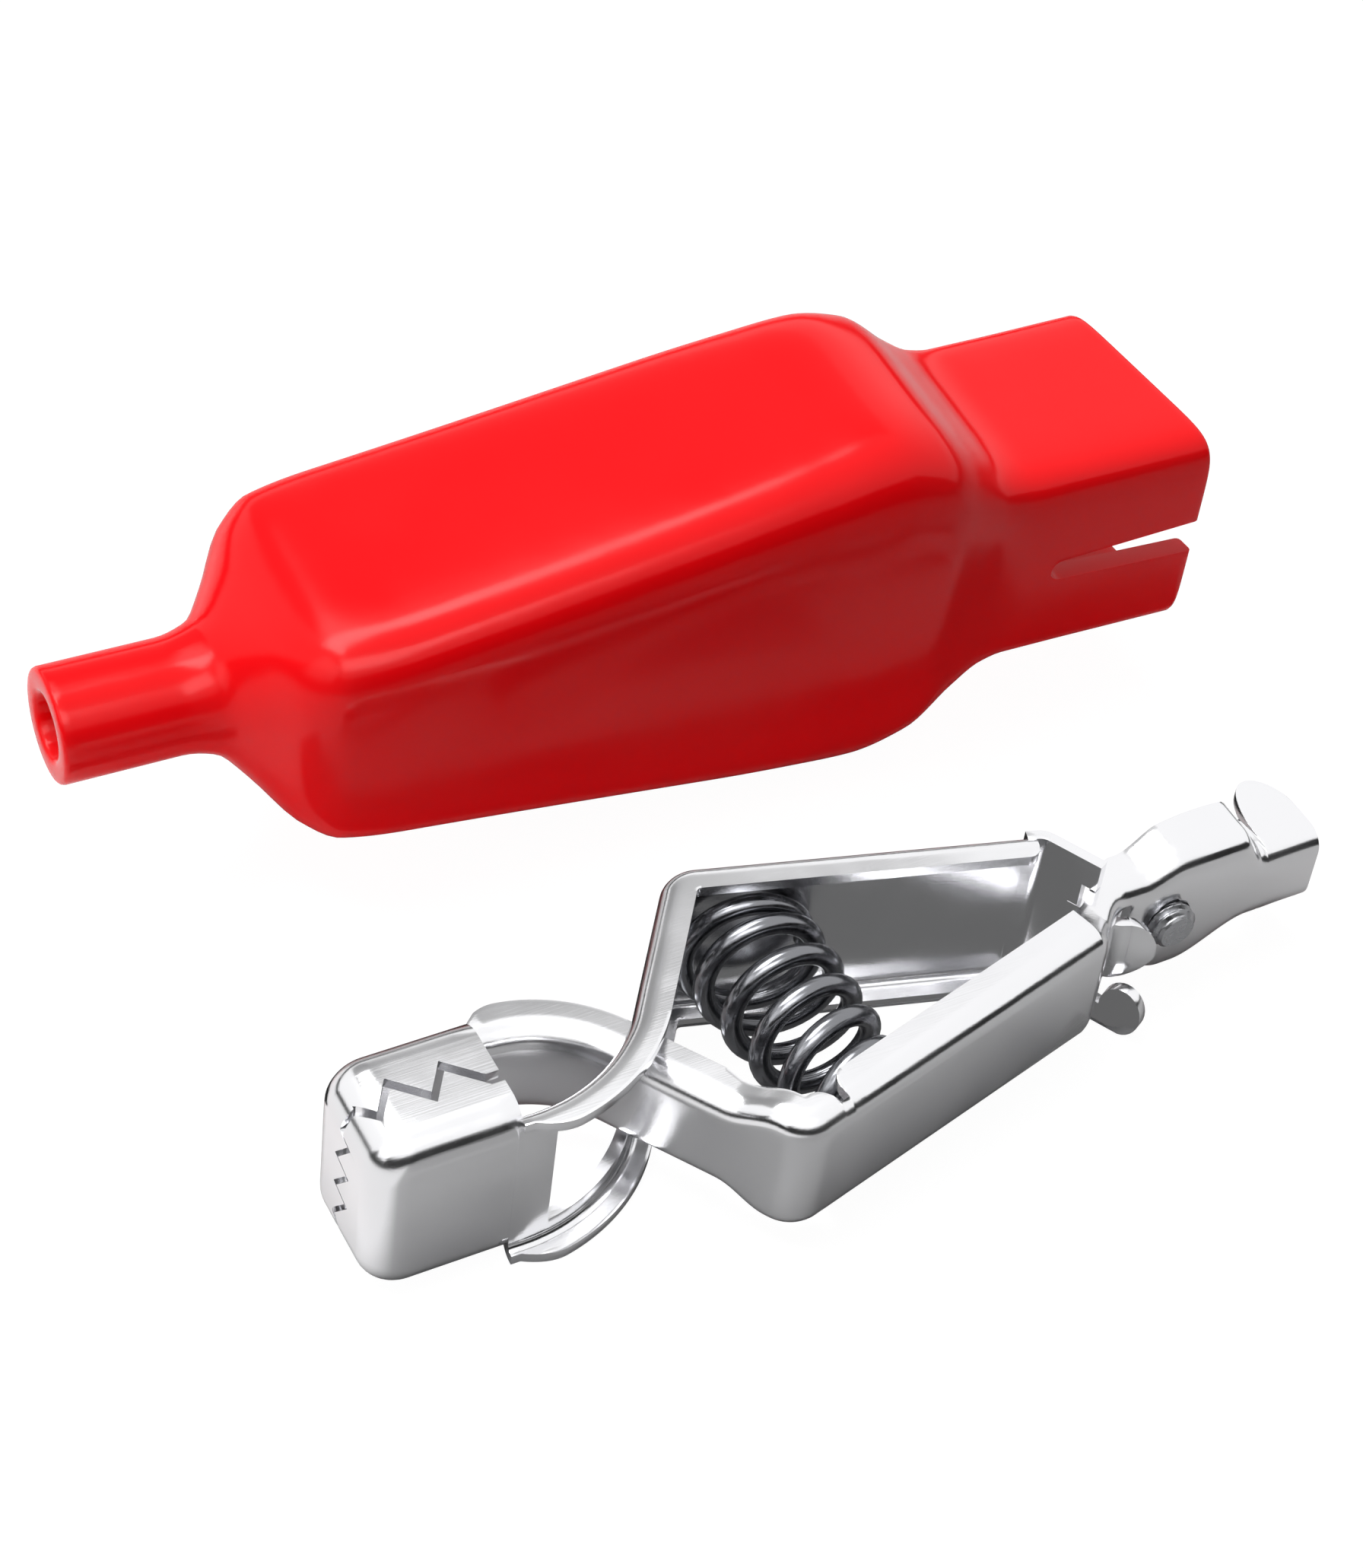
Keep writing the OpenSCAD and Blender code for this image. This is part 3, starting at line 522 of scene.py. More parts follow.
def makeWindowedLever():
    s, t = leverSizes, windowedSizes
    width, lip, proud = s["width"], s["lip"], s["proud"]
    armTurn, backCorner, rearBend, root = (np.array(t[k]) for k in (
        "armTurn", "backCorner", "rearBend", "tongueRoot"))
    arm, backAngle, plateAngle = (headingOf(*ends) for ends in (
        (armTurn, backCorner), (backCorner, rearBend), (rearBend, root)))
    trim = bendTrim(backCorner, rearBend, root, t["rearRadius"])
    armEnd = rearBend - (trim + 0.1) * aheadOf(backAngle)
    path = np.concatenate(neck(armTurn, backCorner, t["neckRadius"], width, t["flange"], 40) + [
        bend(armTurn, backCorner, rearBend, t["cornerRadius"], width, t["flange"], 20),
        flangeEnd(armEnd - t["flangeEnd"] * aheadOf(backAngle), backAngle, width, lip, t["flange"],
                  t["flangeEnd"], 9)])
    channel = foldedStrip("channel", path, t["fold"], True)
    end = backCorner - t["windowEnd"] * aheadOf(arm)
    outline = [(t["windowFrom"], 20), end + 20 * leftOf(arm), end - 12 * leftOf(arm), (t["windowFrom"], -15)]
    half = t["windowWidth"] / 2
    cutAway(channel, [prism("window", outline, -half, half, mirrored=True)])
    # the rear plate, which ends in the two shoulders
    past = t["shoulderPast"] / math.sin(plateAngle)
    plateEnd = root + past * aheadOf(plateAngle)
    platePath = np.concatenate([stations(armEnd - 0.6 * aheadOf(backAngle), backAngle, width, lip),
                                bend(backCorner, rearBend, root, t["rearRadius"], width, lip, 12),
                                stations(plateEnd, plateAngle, width, lip)])
    platePath[:, :2] += proud * leftOf(platePath[:, 2])
    plate = flatStrip("plate", platePath, width / 2 - proud)
    # outline of what is cut away, in lengths along the plate back from its end and heights: all
    # above the upper shoulder, which stops behind the flange, and round the lower one's head
    outer = width / 2 + 0.01
    depth, shallow = ((root[1] + t[k]) / math.sin(plateAngle) + past for k in ("opened", "openedAbove"))
    joins = math.pi - math.asin(1 - t["shoulder"] / t["headWide"])
    turn = np.linspace(-math.pi / 2, joins, 25)
    head = np.stack([-t["headLong"] + t["headLong"] * np.cos(turn),
                     -outer + t["headWide"] + t["headWide"] * np.sin(turn)], -1)
    rim = [(3, 9), (-shallow, 9), (-shallow, t["aboveFrom"]), (-depth, t["aboveFrom"]),
           (-depth, -outer + t["shoulder"]), *head[::-1], (-t["headLong"], -9), (3, -9)]
    cutAway(plate, [prism("fork", rim, -4, 5, (*plateEnd, 0), axesAt(plateAngle), mirrored=True)])
    # the tongue, from inside the plate through the tail lever's slot to a half-round tip
    tongueAngle, half = math.radians(t["tongueAngle"]), t["tongueWidth"] / 2
    start = root - t["tongueFrom"] / math.sin(plateAngle) * aheadOf(plateAngle)
    straight = t["tongueLength"] - half
    reach = np.maximum(straight + half * np.sin(np.radians(np.linspace(0, 88, 16))), 0.85)
    tip = root + t["tongueLength"] * aheadOf(tongueAngle)
    tonguePath = np.concatenate([
        stations(start, plateAngle, 0, lip), bend(start, root, tip, t["tongueRadius"], 0, lip, 10),
        stations(root + reach[:, None] * aheadOf(tongueAngle), tongueAngle, 0, lip)])
    tonguePath[:, :2] += 2 * proud * leftOf(tonguePath[:, 2])
    # half its width at a row is half * sqrt(1 - r^2), with r the share of the tip that is past
    passed = np.clip(((tonguePath[:, :2] - root) @ aheadOf(tongueAngle) - straight) / half, 0, 0.999)
    passed[:6] = 0
    tongue = flatStrip("tongue", tonguePath, half * np.sqrt(1 - passed ** 2), t["dome"], t["domeHalf"])
    return finishLever("windowedLever", [makeJaw("jaw", -1), channel, plate, tongue],
                       "windowed", "windowed_lever")


tailSizes = {
    "fold": 1.6, "neckWidth": 8.0, "neckFlange": 3.0, "neckTurn": (16.2, 3.92), "neckRadius": 8.0,
    "frontCorner": (26.8, -11.8), "cornerRadius": 2.8, "cornerFlange": 2.6,
    # before the corner the neck widens, and past it a notch parts its flange from the handle's
    "widenBefore": 4.2, "widenOver": 3.9, "notch": 0.9, "notchAt": (0.1, 2.1), "notchRounds": (1.3, 1.2),
    "handleWidth": 10.6, "handleFront": 3.0, "handleRear": 3.2,
    "jogLow": (53.2, -4.6), "jogLength": 4.4, "jogBefore": 2.9, "jogDip": 2.9,
    "root": (56.1, -1.1), "angle": 1.0, "length": 17.7, "width": 9.2, "wide": 11.2, "crimpWidth": 6.6,
    "flange": 4.2, "flangeFirst": 0.8,
    # where the tail's width changes, and over what length; its lower side narrows before its upper
    "widens": (58.8, 3.2), "narrows": (67.2, 1.9), "narrowsBelow": (62.8, 6.0),
    "earLength": 4.3, "earDepth": 6.8, "earFoot": (1.8, 3.2), "slit": 0.25,
    "slotWidth": 6.2, "slotFrom": 55.0, "slotTo": 57.8, "screwAlong": 5.4, "screwHole": 3.6,
}


def makeTailLever():
    t = tailSizes
    turn, corner, low, root = (np.array(t[k]) for k in ("neckTurn", "frontCorner", "jogLow", "root"))
    tail = math.radians(t["angle"])
    alongTail = aheadOf(tail)
    tailEnd = root + t["length"] * alongTail
    crimpStart = tailEnd - t["earLength"] * alongTail
    high = root + (t["jogLength"] - t["jogBefore"]) * alongTail
    neckAngle, frontAngle = headingOf(turn, corner), headingOf(corner, low)
    alongNeck, alongFront = aheadOf(neckAngle), aheadOf(frontAngle)
    trim = bendTrim(turn, corner, low, t["cornerRadius"])
    neckEnd = corner - (trim + t["widenBefore"]) * alongNeck
    bendEnd, handleStart = (corner + (trim + past) * alongFront for past in t["notchAt"])
    share = np.linspace(0, 1, 11)
    more, between = share[1:], share[:, None] - 1
    rows = neck(turn, corner, t["neckRadius"], t["neckWidth"], t["neckFlange"], 36) + [
        stations(neckEnd + 1.5 * between * alongNeck, neckAngle, t["neckWidth"],
                 t["neckFlange"] + (t["cornerFlange"] - t["neckFlange"]) * share),
        stations(neckEnd + t["widenOver"] * more[:, None] * alongNeck, neckAngle,
                 t["neckWidth"] + (t["handleWidth"] - t["neckWidth"]) * halfWave(more), t["cornerFlange"]),
        bend(turn, corner, low, t["cornerRadius"], t["handleWidth"], t["cornerFlange"], 24),
        flangeEnd(bendEnd, frontAngle, t["handleWidth"], t["notch"], t["cornerFlange"],
                  t["notchRounds"][0], 11),
        flangeEnd(handleStart, frontAngle, t["handleWidth"], t["notch"], t["handleFront"],
                  t["notchRounds"][1], 11, growing=True)]
    # the web steps over from the handle to the tail in a double curve, its flanges lower midway
    share = np.linspace(0, 1, 33)
    over = halfWave(share)
    near = low + share[:, None] * t["jogLength"] * alongFront
    far = high - (1 - share[:, None]) * t["jogLength"] * alongTail
    full = t["handleRear"] + (t["flange"] * t["flangeFirst"] - t["handleRear"]) * share
    rows.append(stations(near + (far - near) * over[:, None], frontAngle + (tail - frontAngle) * over,
                         t["width"] + (t["handleWidth"] - t["width"]) * np.maximum(0, 1 - share * 3),
                         full - (full - t["jogDip"]) * np.sin(np.pi * share)))
    # past the slot the tail is wide, and narrows again behind the screw
    share = np.linspace(0, 1, 41)
    taperStart, taperEnd = high + 0.8 * alongTail, crimpStart - t["slit"] * alongTail
    places = taperStart + (taperEnd - taperStart) * share[:, None]
    wider, less = (smoothStep(places[:, 0], *t[k]) for k in ("widens", "narrows"))
    grows = t["flangeFirst"] + (1 - t["flangeFirst"]) * np.sin(np.radians(150) * share)
    rows.append(stations(places, tail, t["width"] + (t["wide"] - t["width"]) * wider
                         - (t["wide"] - t["crimpWidth"]) * less, t["flange"] * grows))
    # an open ear on each side: half an ellipse, with a slit before it
    share = halfWave(np.linspace(0, 1, 25))
    foot = t["earFoot"][0] + (t["earFoot"][1] - t["earFoot"][0]) * share
    rows.append(stations(crimpStart + (tailEnd - crimpStart) * share[:, None], tail, t["crimpWidth"],
                         foot + (t["earDepth"] - foot) * np.sqrt(np.maximum(0, 1 - (2 * share - 1) ** 2))))
    path = np.concatenate(rows)
    # the upper half follows the width; the lower half has its part of the difference earlier
    early, late = (smoothStep(path[:, 0], *t[k]) for k in ("narrowsBelow", "narrows"))
    lessBelow = (t["wide"] - t["crimpWidth"]) / 2 * (early - late)[:, None]
    channel = foldedStrip("tailChannel", path, t["fold"], False, lessBelow)
    first, last, half = t["slotFrom"], t["slotTo"], t["slotWidth"] / 2
    slot = prism("slot", [(first, -4.2), (last, -4.2), (last, 1.4), (first, 1.4)], -half, half)
    middle = root + t["screwAlong"] * alongTail
    around = 2 * np.pi * np.arange(48) / 48
    hole = prism("hole", t["screwHole"] / 2 * aheadOf(around), -1.0, 1.8, (*middle, 0), axesAt(tail))
    cutAway(channel, [slot, hole])
    return finishLever("tailLever", [makeJaw("tailJaw", 1), channel], "tail", "tail_lever")


windowedLever = makeWindowedLever()
tailLever = makeTailLever()
print("levers ready")

# Coil spring, squeezed between the two handles
springSizes = {
    "wire": 1.5, "backDiameter": 10.4, "frontDiameter": 8.2, "turns": 4.5,
    "backAlong": 33.3, "frontAlong": 34.2, "gap": 0.08, "sides": 20, "steps": 44,
}


def seatPoint(corner, angle, x, off):
    # place on a handle's outer line at x, moved off it towards the channel
    return corner + (x - corner[0]) / math.cos(angle) * aheadOf(angle) + off * leftOf(angle)


def makeSpring():
    s = springSizes
    wire, openTurns = s["wire"], s["turns"]
    backCorner, rearBend = (np.array(windowedSizes[k]) * (1, -1) for k in ("backCorner", "rearBend"))
    frontCorner, jogLow = tailSizes["frontCorner"], tailSizes["jogLow"]
    backAngle, frontAngle = headingOf(backCorner, rearBend), headingOf(frontCorner, jogLow)
    seat = leverSizes["sheet"] + wire / 2 + s["gap"]
    back = seatPoint(backCorner, backAngle, s["backAlong"], -seat)
    front = seatPoint(frontCorner, frontAngle, s["frontAlong"], seat)
    height = np.linalg.norm(front - back)
    endPitch, allTurns = wire + s["gap"], openTurns + 2
    pitch = (height - 2 * endPitch) / openTurns
    turns = np.linspace(0, allTurns, int(allTurns * s["steps"]) + 1)
    # height along the spring: closed first and last turns, open turns between them
    share = np.where(turns < 1, turns * endPitch,
                     np.where(turns < 1 + openTurns, endPitch + (turns - 1) * pitch,
                              height - (allTurns - turns) * endPitch)) / height
    # each ring of the wire stands across the helix, in the plane through the spring's middle line
    angle = backAngle + (frontAngle - backAngle) * share
    centre = back + (front - back) * share[:, None]
    around = 2 * np.pi * np.arange(s["sides"]) / s["sides"]
    out, up = wire / 2 * np.cos(around), wire / 2 * np.sin(around)
    diameter = s["backDiameter"] + (s["frontDiameter"] - s["backDiameter"]) * share
    radius = ((diameter - wire) / 2)[:, None] + out
    sweep = 2 * np.pi * turns[:, None]
    flat = centre[:, None, :] + (radius * np.cos(sweep))[..., None] * aheadOf(angle)[:, None, :] \
        + up[None, :, None] * leftOf(angle)[:, None, :]
    points = np.concatenate([flat, (radius * np.sin(sweep))[..., None]], -1)
    piece = meshObject("coilSpring", onTable(points.reshape(-1, 3)),
                       tubeFaces(len(turns), s["sides"]), wireMaterial)
    smoothShade(piece, 50)
    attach(piece, "tail")
    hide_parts("spring")
    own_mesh(piece)
    return piece


coilSpring = makeSpring()
print("spring ready")

# Terminal screw: threaded shank through the tail's web, slotted cheese head in the channel
screwSizes = {
    "diameter": 3.5, "pitch": 0.6, "depth": 0.3, "tip": 1.2, "chamfer": 0.45, "head": 5.6, "headHeight": 1.7,
    "slot": 1.0, "gap": 0.08, "around": 96, "levels": 60,
}


def makeScrew():
    s, t = screwSizes, tailSizes
    # origin on the front of the tail's web, with the screw's axis into the channel
    axes = axesAt(math.radians(t["angle"]))
    origin = np.array([*t["root"], 0]) + t["screwAlong"] * axes[0]
    seat, thick = leverSizes["sheet"] + s["gap"], s["diameter"] / 2
    # thread: radius falls and rises once a pitch along the axis and once a turn round it
    levels = np.linspace(-s["tip"], seat + 0.1, s["levels"])[:, None]
    theta = 2 * np.pi * np.arange(s["around"]) / s["around"]
    ridge = np.abs(2 * ((levels / s["pitch"] - theta / (2 * np.pi)) % 1) - 1)
    radius = thick - s["depth"] * np.clip(1.25 * ridge - 0.1, 0, 1)
    # the tip is chamfered at 45 degrees
    radius = np.minimum(radius, thick - s["chamfer"] + levels + s["tip"])
    # the head's profile: height over the seat, distance from the axis
    h, r = s["headHeight"], s["head"] / 2
    profile = np.array([(0, thick), (0, r - 0.15), (0.04, r - 0.04), (0.15, r),
                        (h - 0.45, r), (h - 0.2, r - 0.08), (h - 0.05, r - 0.3), (h, r - 0.6)])
    heights = np.concatenate([levels, seat + profile[:, :1]]) + 0 * theta
    radii = np.concatenate([radius, profile[:, 1:] + 0 * theta])
    points = origin + np.stack([radii * np.cos(theta), radii * np.sin(theta), heights], -1) @ axes
    piece = closedPiece("terminalScrew", points.reshape(-1, 3), tubeFaces(*heights.shape), screwMaterial)
    # driver slot, cut across the head
    half = s["slot"] / 2
    cutter = prism("slotCutter", [(-5, -half), (5, -half), (5, half), (-5, half)], seat + h / 2, seat + h + 1,
                   origin, axes, material=screwMaterial)
    cutAway(piece, [cutter])
    smoothShade(piece, 40)
    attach(piece, "screw")
    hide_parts("terminal_screw")
    return piece


terminalScrew = makeScrew()
print("screw ready")

# Boot: cable tube, bulged body and slotted nose, open from end to end
bootSizes = {
    "length": 84.0, "wall": 1.6, "tube": 8.2, "bore": 4.8, "tubeLength": 11.0, "wallOver": 2.0,
    # place along the boot, width, height, corner radius of the section
    "sections": [(0, 8.2, 8.2, 4.1), (8.5, 8.2, 8.2, 4.1), (11, 9.2, 9.2, 4.5), (12.98, 13.2, 12.3, 5),
                 (15.3, 19.1, 16.4, 5), (17.6, 21.3, 18.6, 4.8), (22.6, 22, 19.7, 4.6), (45.8, 22, 26.4, 5),
                 (52.8, 22, 28.7, 5.6), (57.8, 22, 30.1, 6.2), (61.8, 21.8, 28.1, 6), (65.4, 19.9, 22.2, 4.6),
                 (68, 18.5, 18.6, 3.4), (70, 18.05, 17.7, 3), (76, 18, 17.6, 2.8), (84, 18, 17.6, 2.6)],
    "within": 0.02,  # the whole section is this much smaller all round
    "rim": 0.35, "rimRows": (0.0, 0.05, 0.15, 0.35),  # radius of the rims, and the rows that round them
    # the slot has its end width where it starts and its mouth width this far past the mouth
    "slotLength": 11.7, "slotEnd": 1.8, "slotMouth": 3.2, "slotPast": 3.0, "slotEdge": 0.25,
    # the mouth stands back in its middle, and by the slant more, or less, 9 mm to either side
    "slantFrom": 74.0, "slantBack": 0.7, "slant": 1.2, "slantHalf": 9.0,
    "around": 144, "along": 150,
}


def slopedCurve(xs, ys, x):
    # a curve through the points without overshoot: cubic pieces whose slope at a point is the
    # harmonic mean of the slopes beside it, or nothing where they differ in sign
    xs, ys = np.asarray(xs, float), np.asarray(ys, float)
    step = np.diff(xs)
    rise = np.diff(ys) / step
    slope = np.zeros(len(xs))
    same = rise[:-1] * rise[1:] > 0
    slope[1:-1][same] = 2 * rise[:-1][same] * rise[1:][same] / (rise[:-1] + rise[1:])[same]
    slope[0], slope[-1] = rise[0], rise[-1]
    i = np.clip(np.searchsorted(xs, x, side="right") - 1, 0, len(xs) - 2)
    t = (x - xs[i]) / step[i]
    return (ys[i] * (2 * t ** 3 - 3 * t ** 2 + 1) + step[i] * slope[i] * (t ** 3 - 2 * t ** 2 + t)
            + ys[i + 1] * (3 * t ** 2 - 2 * t ** 3) + step[i] * slope[i + 1] * (t ** 3 - t ** 2))


def bootRings(x, inset):
    # rounded rectangles: a quarter of each is half a side, a corner and half the next side
    around, sections = bootSizes["around"], np.array(bootSizes["sections"], float)
    width, height, corner = (slopedCurve(sections[:, 0], sections[:, k], x)[:, None] for k in (1, 2, 3))
    halfWide, halfHigh = (size / 2 - inset - bootSizes["within"] for size in (width, height))
    radius = np.maximum(np.minimum(corner, 0.98 * np.minimum(width, height) / 2) - inset, 0.3)
    side = np.linspace(0, 1, around // 16 + 1)[None, :]
    turn = np.linspace(0, np.pi / 2, around // 8 + 1)[None, :]
    y = np.concatenate([halfWide + 0 * side[:, :-1], halfWide - radius * (1 - np.cos(turn)),
                        (halfWide - radius) * (1 - side[:, 1:])], 1)
    z = np.concatenate([(halfHigh - radius) * side[:, :-1], halfHigh - radius * (1 - np.sin(turn)),
                        halfHigh + 0 * side[:, 1:]], 1)
    quarters = ((y, z), (-y[:, ::-1], z[:, ::-1]), (-y, -z), (y[:, ::-1], -z[:, ::-1]))
    ring = np.concatenate([np.stack(q, -1)[:, :-1] for q in quarters], 1)
    # soft faces: each point moves out or in to (y / halfWide)^n + (z / halfHigh)^n = 1, whose n gives
    # the same corner: n = ln 2 / -ln(1 - 0.293 corner / half side)
    power = math.log(2) / -np.log(1 - 0.293 * np.minimum(4 * corner / (width + height), 1))
    reach = np.abs(ring[..., 0] / halfWide) ** power + np.abs(ring[..., 1] / halfHigh) ** power
    ring = ring * (reach ** (-1 / power))[..., None]
    return np.concatenate([np.broadcast_to(x[:, None, None], ring[..., :1].shape), ring], -1)


def makeBoot():
    s = bootSizes
    length, rim, rimRows = s["length"], s["rim"], np.array(s["rimRows"])
    x = np.concatenate([rimRows, np.linspace(0.8, length - 0.8, s["along"]), length - rimRows[::-1]])
    # the rims are rounded: near each end the skin draws in on a quarter circle
    edge = np.minimum(x, length - x)
    draw = rim - np.sqrt(np.maximum(0, rim ** 2 - np.maximum(0, rim - edge) ** 2))
    tubeWall = (s["tube"] - s["bore"]) / 2
    wall = slopedCurve([0, s["tubeLength"], s["tubeLength"] + s["wallOver"], length],
                       [tubeWall, tubeWall, s["wall"], s["wall"]], x)
    outer, inner = (bootRings(x, inset[:, None]) for inset in (draw, wall - draw))
    rings = np.concatenate([outer, inner[::-1]], 0)
    # the mouth is cut a little askew, which grows smoothly over the nose
    rings[..., 0] -= (s["slantBack"] + s["slant"] * rings[..., 1] / s["slantHalf"]) \
        * smoothStep(rings[..., 0], s["slantFrom"], length - s["slantFrom"])
    # the boot's own places run from its middle: along it, up, and to the left
    axes = axesAt(math.radians(placing["bootYaw"]))
    origin = np.array([*placing["bootMiddle"], placing["bootRise"] - placing["halfWidth"]])
    points = origin + (rings - (length / 2, 0, 0))[..., [0, 2, 1]] @ axes
    faces = gridFaces(len(rings), rings.shape[1], closedRows=True, closedColumns=True)
    piece = closedPiece("vinylBoot", points.reshape(-1, 3), faces[:, ::-1], vinylMaterial)
    # slots in both sides of the nose, wider at the mouth, with a round end
    start, mouth, half = -s["slotLength"] + length / 2, length / 2 + s["slotPast"], s["slotEnd"] / 2
    turn = np.linspace(0, math.pi, 9)
    outline = [(mouth, s["slotMouth"] / 2),
               *np.stack([start + half - half * np.sin(turn), half * np.cos(turn)], -1),
               (mouth, -s["slotMouth"] / 2)]
    cutAway(piece, [prism("slotCutter", outline, -20, 20, origin, axes, material=vinylMaterial)])
    breakEdges(piece, s["slotEdge"], 3, 50)
    smoothShade(piece, 60)
    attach(piece, "boot")
    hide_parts("boot")
    return piece


vinylBoot = makeBoot()
vinylBoot.visible_glossy = False  # the photograph shows none of its red in the bright metal
print("boot ready")

# Studio: white sky, pale floor, and cards that only the metal or the boot's near side see
studio = {
    "worldDiffuse": 0.36, "worldMirrored": 1.06,
    "floorColour": 0.75, "floorWhite": 1.1, "floorGlow": 0.88, "floorHalf": 900,
    # share of the floor's light that shows in the metal, by place along the clip in mm
    "floorLevels": [(-60, 1.0), (-40, 1.0), (-35, 0.52), (16, 0.52), (26, 0.6), (60, 0.66)],
    # a card's grey is what it has at x -10 and at x 60; the round wall is highest on the camera's side
    "wallRadius": 800, "wallSides": 72, "wallLow": 120, "wallHigh": 440, "wallTurn": 245,
    "wallGrey": (0.02, 0.02),
    # x from and to, y from and to, height, grey: the first is painted shade on the table before the boot,
    # which the metal and the boot's near side mirror, the second darkens the inside of the clip's channel and
    # the spring with painted shade, the third greys the clip's back flanges
    "flatCards": {"tableShadeCard": (-46, 50, -4, 7, 0.3, (0.02, 0.02)),
                  "channelShadeCard": (-8, 20, -24, -9, 0.3, (0.14, 0.14)),
                  "overheadCard": (-70, 55, 33.5, 260, 85, (0.32, 0.72))},
    # bright card above the camera, which draws the highlights along rounded edges
    "brightTurn": 245, "brightRise": 57, "brightAway": 400, "brightHalf": (130, 80), "brightGrey": (5.0, 5.0),
    "flag": [(-30, -45, 1), (52, -45, 1), (52, -45, 90), (-30, -45, 55)],
    # soft boxes: place and size in metres, power in watts
    "lamps": {"softboxAbove": ((-0.12, 0.16, 0.5), (0.4, 0.3), 2.7),
              "softboxLeft": ((-0.45, -0.1, 0.3), (0.3, 0.3), 0.3)},
    "lampTarget": (0, 0, 0.01),
    # camera: place in mm, turns in degrees, focal length in pixels of a picture 2061 high
    "camera": (-103.015, -152.539, 195.234), "yaw": 33.0, "pitch": 45.0, "roll": 8.0,
    "pixels": 5000.0, "pictureHeight": 2061, "sensor": 36,
}


def mirroredRays(tree, path):
    # 1 for what metal or glass mirrors or lets through, otherwise 0
    return addNode(tree, "Math", {
        0: path.outputs["Is Glossy Ray"], 1: path.outputs["Is Transmission Ray"]}, operation="MAXIMUM")


def makeWorld():
    s = studio
    world = bpy.data.worlds.new("whiteStudio")
    world.use_nodes = True
    tree = world.node_tree
    tree.nodes.clear()
    # white to the camera and in the metal, and dimmer as light on the set, which lamps light too
    path = addNode(tree, "LightPath")
    mirrorLevel = addNode(tree, "MapRange", {
        "Value": mirroredRays(tree, path), "To Min": s["worldDiffuse"], "To Max": s["worldMirrored"]})
    level = addNode(tree, "Math", {0: path.outputs["Is Camera Ray"], 1: mirrorLevel}, operation="MAXIMUM")
    sky = addNode(tree, "Background", {"Color": (1, 1, 1, 1), "Strength": level})
    addNode(tree, "OutputWorld", {"Surface": sky})
    bpy.context.scene.world = world


def makeFloor():
    s = studio
    material, tree = newMaterial("paleFloor")
    path = addNode(tree, "LightPath")
    cameraShare = addNode(tree, "Math", {
        0: path.outputs["Is Camera Ray"], 1: s["floorGlow"]}, operation="MULTIPLY")
    pale = s["floorColour"]
    matt = addNode(tree, "BsdfDiffuse", {"Color": (pale, pale, pale, 1)})
    glow = addNode(tree, "Emission", {"Color": (1, 1, 1, 1), "Strength": s["floorWhite"]})
    seen = addNode(tree, "MixShader", {0: cameraShare, 1: matt, 2: glow})
    # in the metal the floor is a grey sheet, paler beyond the nose and the tail
    place = addNode(tree, "TexCoord").outputs["Object"]
    places = addNode(tree, "SeparateXYZ", {"Vector": place})
    first, last = s["floorLevels"][0][0], s["floorLevels"][-1][0]
    along = addNode(tree, "MapRange", {
        "Value": places.outputs["X"], "From Min": first * 0.001, "From Max": last * 0.001})
    ramp = addNode(tree, "ValToRGB", {"Fac": along})
    stops = ramp.color_ramp.elements
    while len(stops) < len(s["floorLevels"]):
        stops.new(0.5)
    for stop, (where, share) in zip(stops, s["floorLevels"]):
        stop.position, stop.color = (where - first) / (last - first), (share, share, share, 1)
    black = addNode(tree, "Emission", {"Color": (0, 0, 0, 1), "Strength": 0.0})
    mirror = addNode(tree, "MixShader", {0: ramp, 1: black, 2: matt})
    mix = addNode(tree, "MixShader", {0: mirroredRays(tree, path), 1: seen, 2: mirror})
    addNode(tree, "OutputMaterial", {"Surface": mix})
    half = s["floorHalf"]
    floor = meshObject("floor", [(-half, -half, 0), (half, -half, 0), (half, half, 0), (-half, half, 0)],
                       [(0, 1, 2, 3)], material)


def mirrorCard(name, points, grey, faces=((0, 1, 2, 3),)):
    # a card seen only in reflections, as a photographer sets round a shiny thing
    material, tree = newMaterial(name)
    places = addNode(tree, "SeparateXYZ", {"Vector": addNode(tree, "TexCoord").outputs["Object"]})
    level = addNode(tree, "MapRange", {
        "Value": places.outputs["X"], "From Min": -0.01, "From Max": 0.06,
        "To Min": grey[0], "To Max": grey[1]})
    lit = addNode(tree, "Emission", {"Color": (1, 1, 1, 1), "Strength": level})
    addNode(tree, "OutputMaterial", {"Surface": lit})
    card = meshObject(name, points, faces, material)
    card.visible_camera = card.visible_diffuse = card.visible_shadow = card.visible_transmission = False


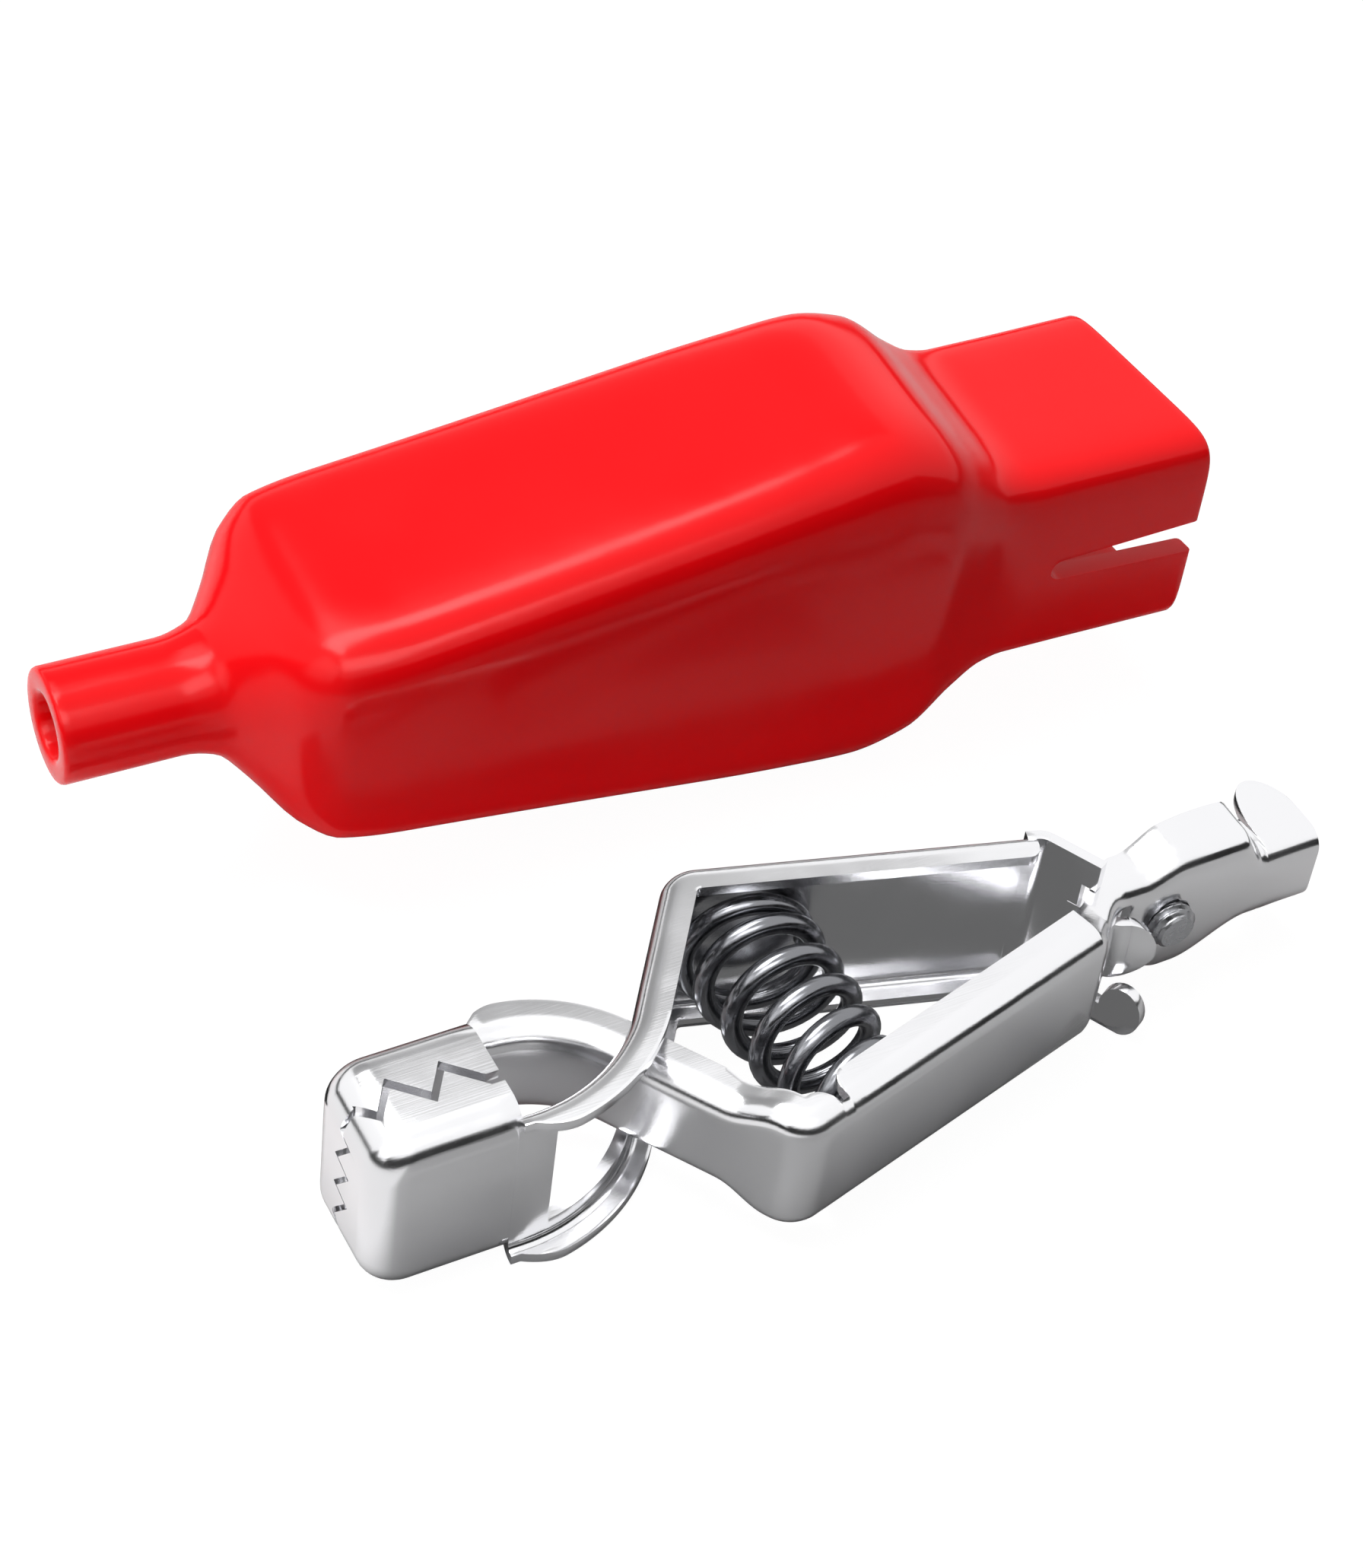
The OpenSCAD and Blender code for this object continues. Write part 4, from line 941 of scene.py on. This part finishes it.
def makeCards():
    s = studio
    # the wall's top follows the cosine of the turn from its front, three times over and cut off at 1
    angle = 2 * np.pi * np.arange(s["wallSides"]) / s["wallSides"]
    front = np.clip(3 * np.cos(angle - math.radians(s["wallTurn"])), 0, 1)
    ring = s["wallRadius"] * aheadOf(angle)
    top = s["wallLow"] + (s["wallHigh"] - s["wallLow"]) * front
    points = np.concatenate([np.column_stack([ring, 0 * top + 0.5]), np.column_stack([ring, top])])
    mirrorCard("wallCard", points, s["wallGrey"], gridFaces(2, len(ring), closedColumns=True))
    for name, (x, xTo, y, yTo, height, grey) in s["flatCards"].items():
        mirrorCard(name, [(x, y, height), (xTo, y, height), (xTo, yTo, height), (x, yTo, height)], grey)
    turn, rise = math.radians(s["brightTurn"]), math.radians(s["brightRise"])
    towards = np.array([*(math.cos(rise) * aheadOf(turn)), math.sin(rise)])
    across = np.array([*leftOf(turn), 0])
    upward = np.cross(towards, across)
    halfWide, halfHigh = s["brightHalf"]
    bright = [s["brightAway"] * towards + a * halfWide * across + b * halfHigh * upward
              for a, b in ((-1, -1), (1, -1), (1, 1), (-1, 1))]
    mirrorCard("brightCard", bright, s["brightGrey"])


def makeFlag():
    # a black card in front, which only takes diffuse light away from the boot's near side
    material, tree = newMaterial("blackFlag")
    black = addNode(tree, "BsdfDiffuse", {"Color": (0, 0, 0, 1)})
    addNode(tree, "OutputMaterial", {"Surface": black})
    flag = meshObject("blackFlag", studio["flag"], [(0, 1, 2, 3)], material)
    flag.visible_camera = flag.visible_glossy = flag.visible_shadow = flag.visible_transmission = False


def makeLamp(name, place, size, power):
    light = bpy.data.lights.new(name, "AREA")
    light.shape, light.size, light.size_y, light.energy = "RECTANGLE", size[0], size[1], power
    lamp = addObject(name, light)
    lamp.location = Vector(place)
    lamp.rotation_euler = (Vector(studio["lampTarget"]) - Vector(place)).to_track_quat("-Z", "Y").to_euler()


def makeCamera():
    s = studio
    # it looks down by the pitch, turned clockwise by the yaw and about its own view by the roll
    data = bpy.data.cameras.new("camera")
    data.sensor_width, data.sensor_fit = s["sensor"], "AUTO"
    data.lens = s["pixels"] / s["pictureHeight"] * s["sensor"]
    data.clip_start, data.clip_end = 0.01, 10
    yaw, pitch, roll = (math.radians(s[k]) for k in ("yaw", "pitch", "roll"))
    camera = addObject("camera", data)
    camera.matrix_world = Matrix.Translation(Vector(s["camera"]) * 0.001) \
        @ Matrix.Rotation(-yaw, 4, "Z") @ Matrix.Rotation(math.pi / 2 - pitch, 4, "X") \
        @ Matrix.Rotation(roll, 4, "Z")
    bpy.context.scene.camera = camera


makeWorld()
makeFloor()
makeCards()
makeFlag()
for lampName, lampSettings in studio["lamps"].items():
    makeLamp(lampName, *lampSettings)
makeCamera()
bpy.context.scene.view_settings.view_transform = "Standard"
print("studio ready")
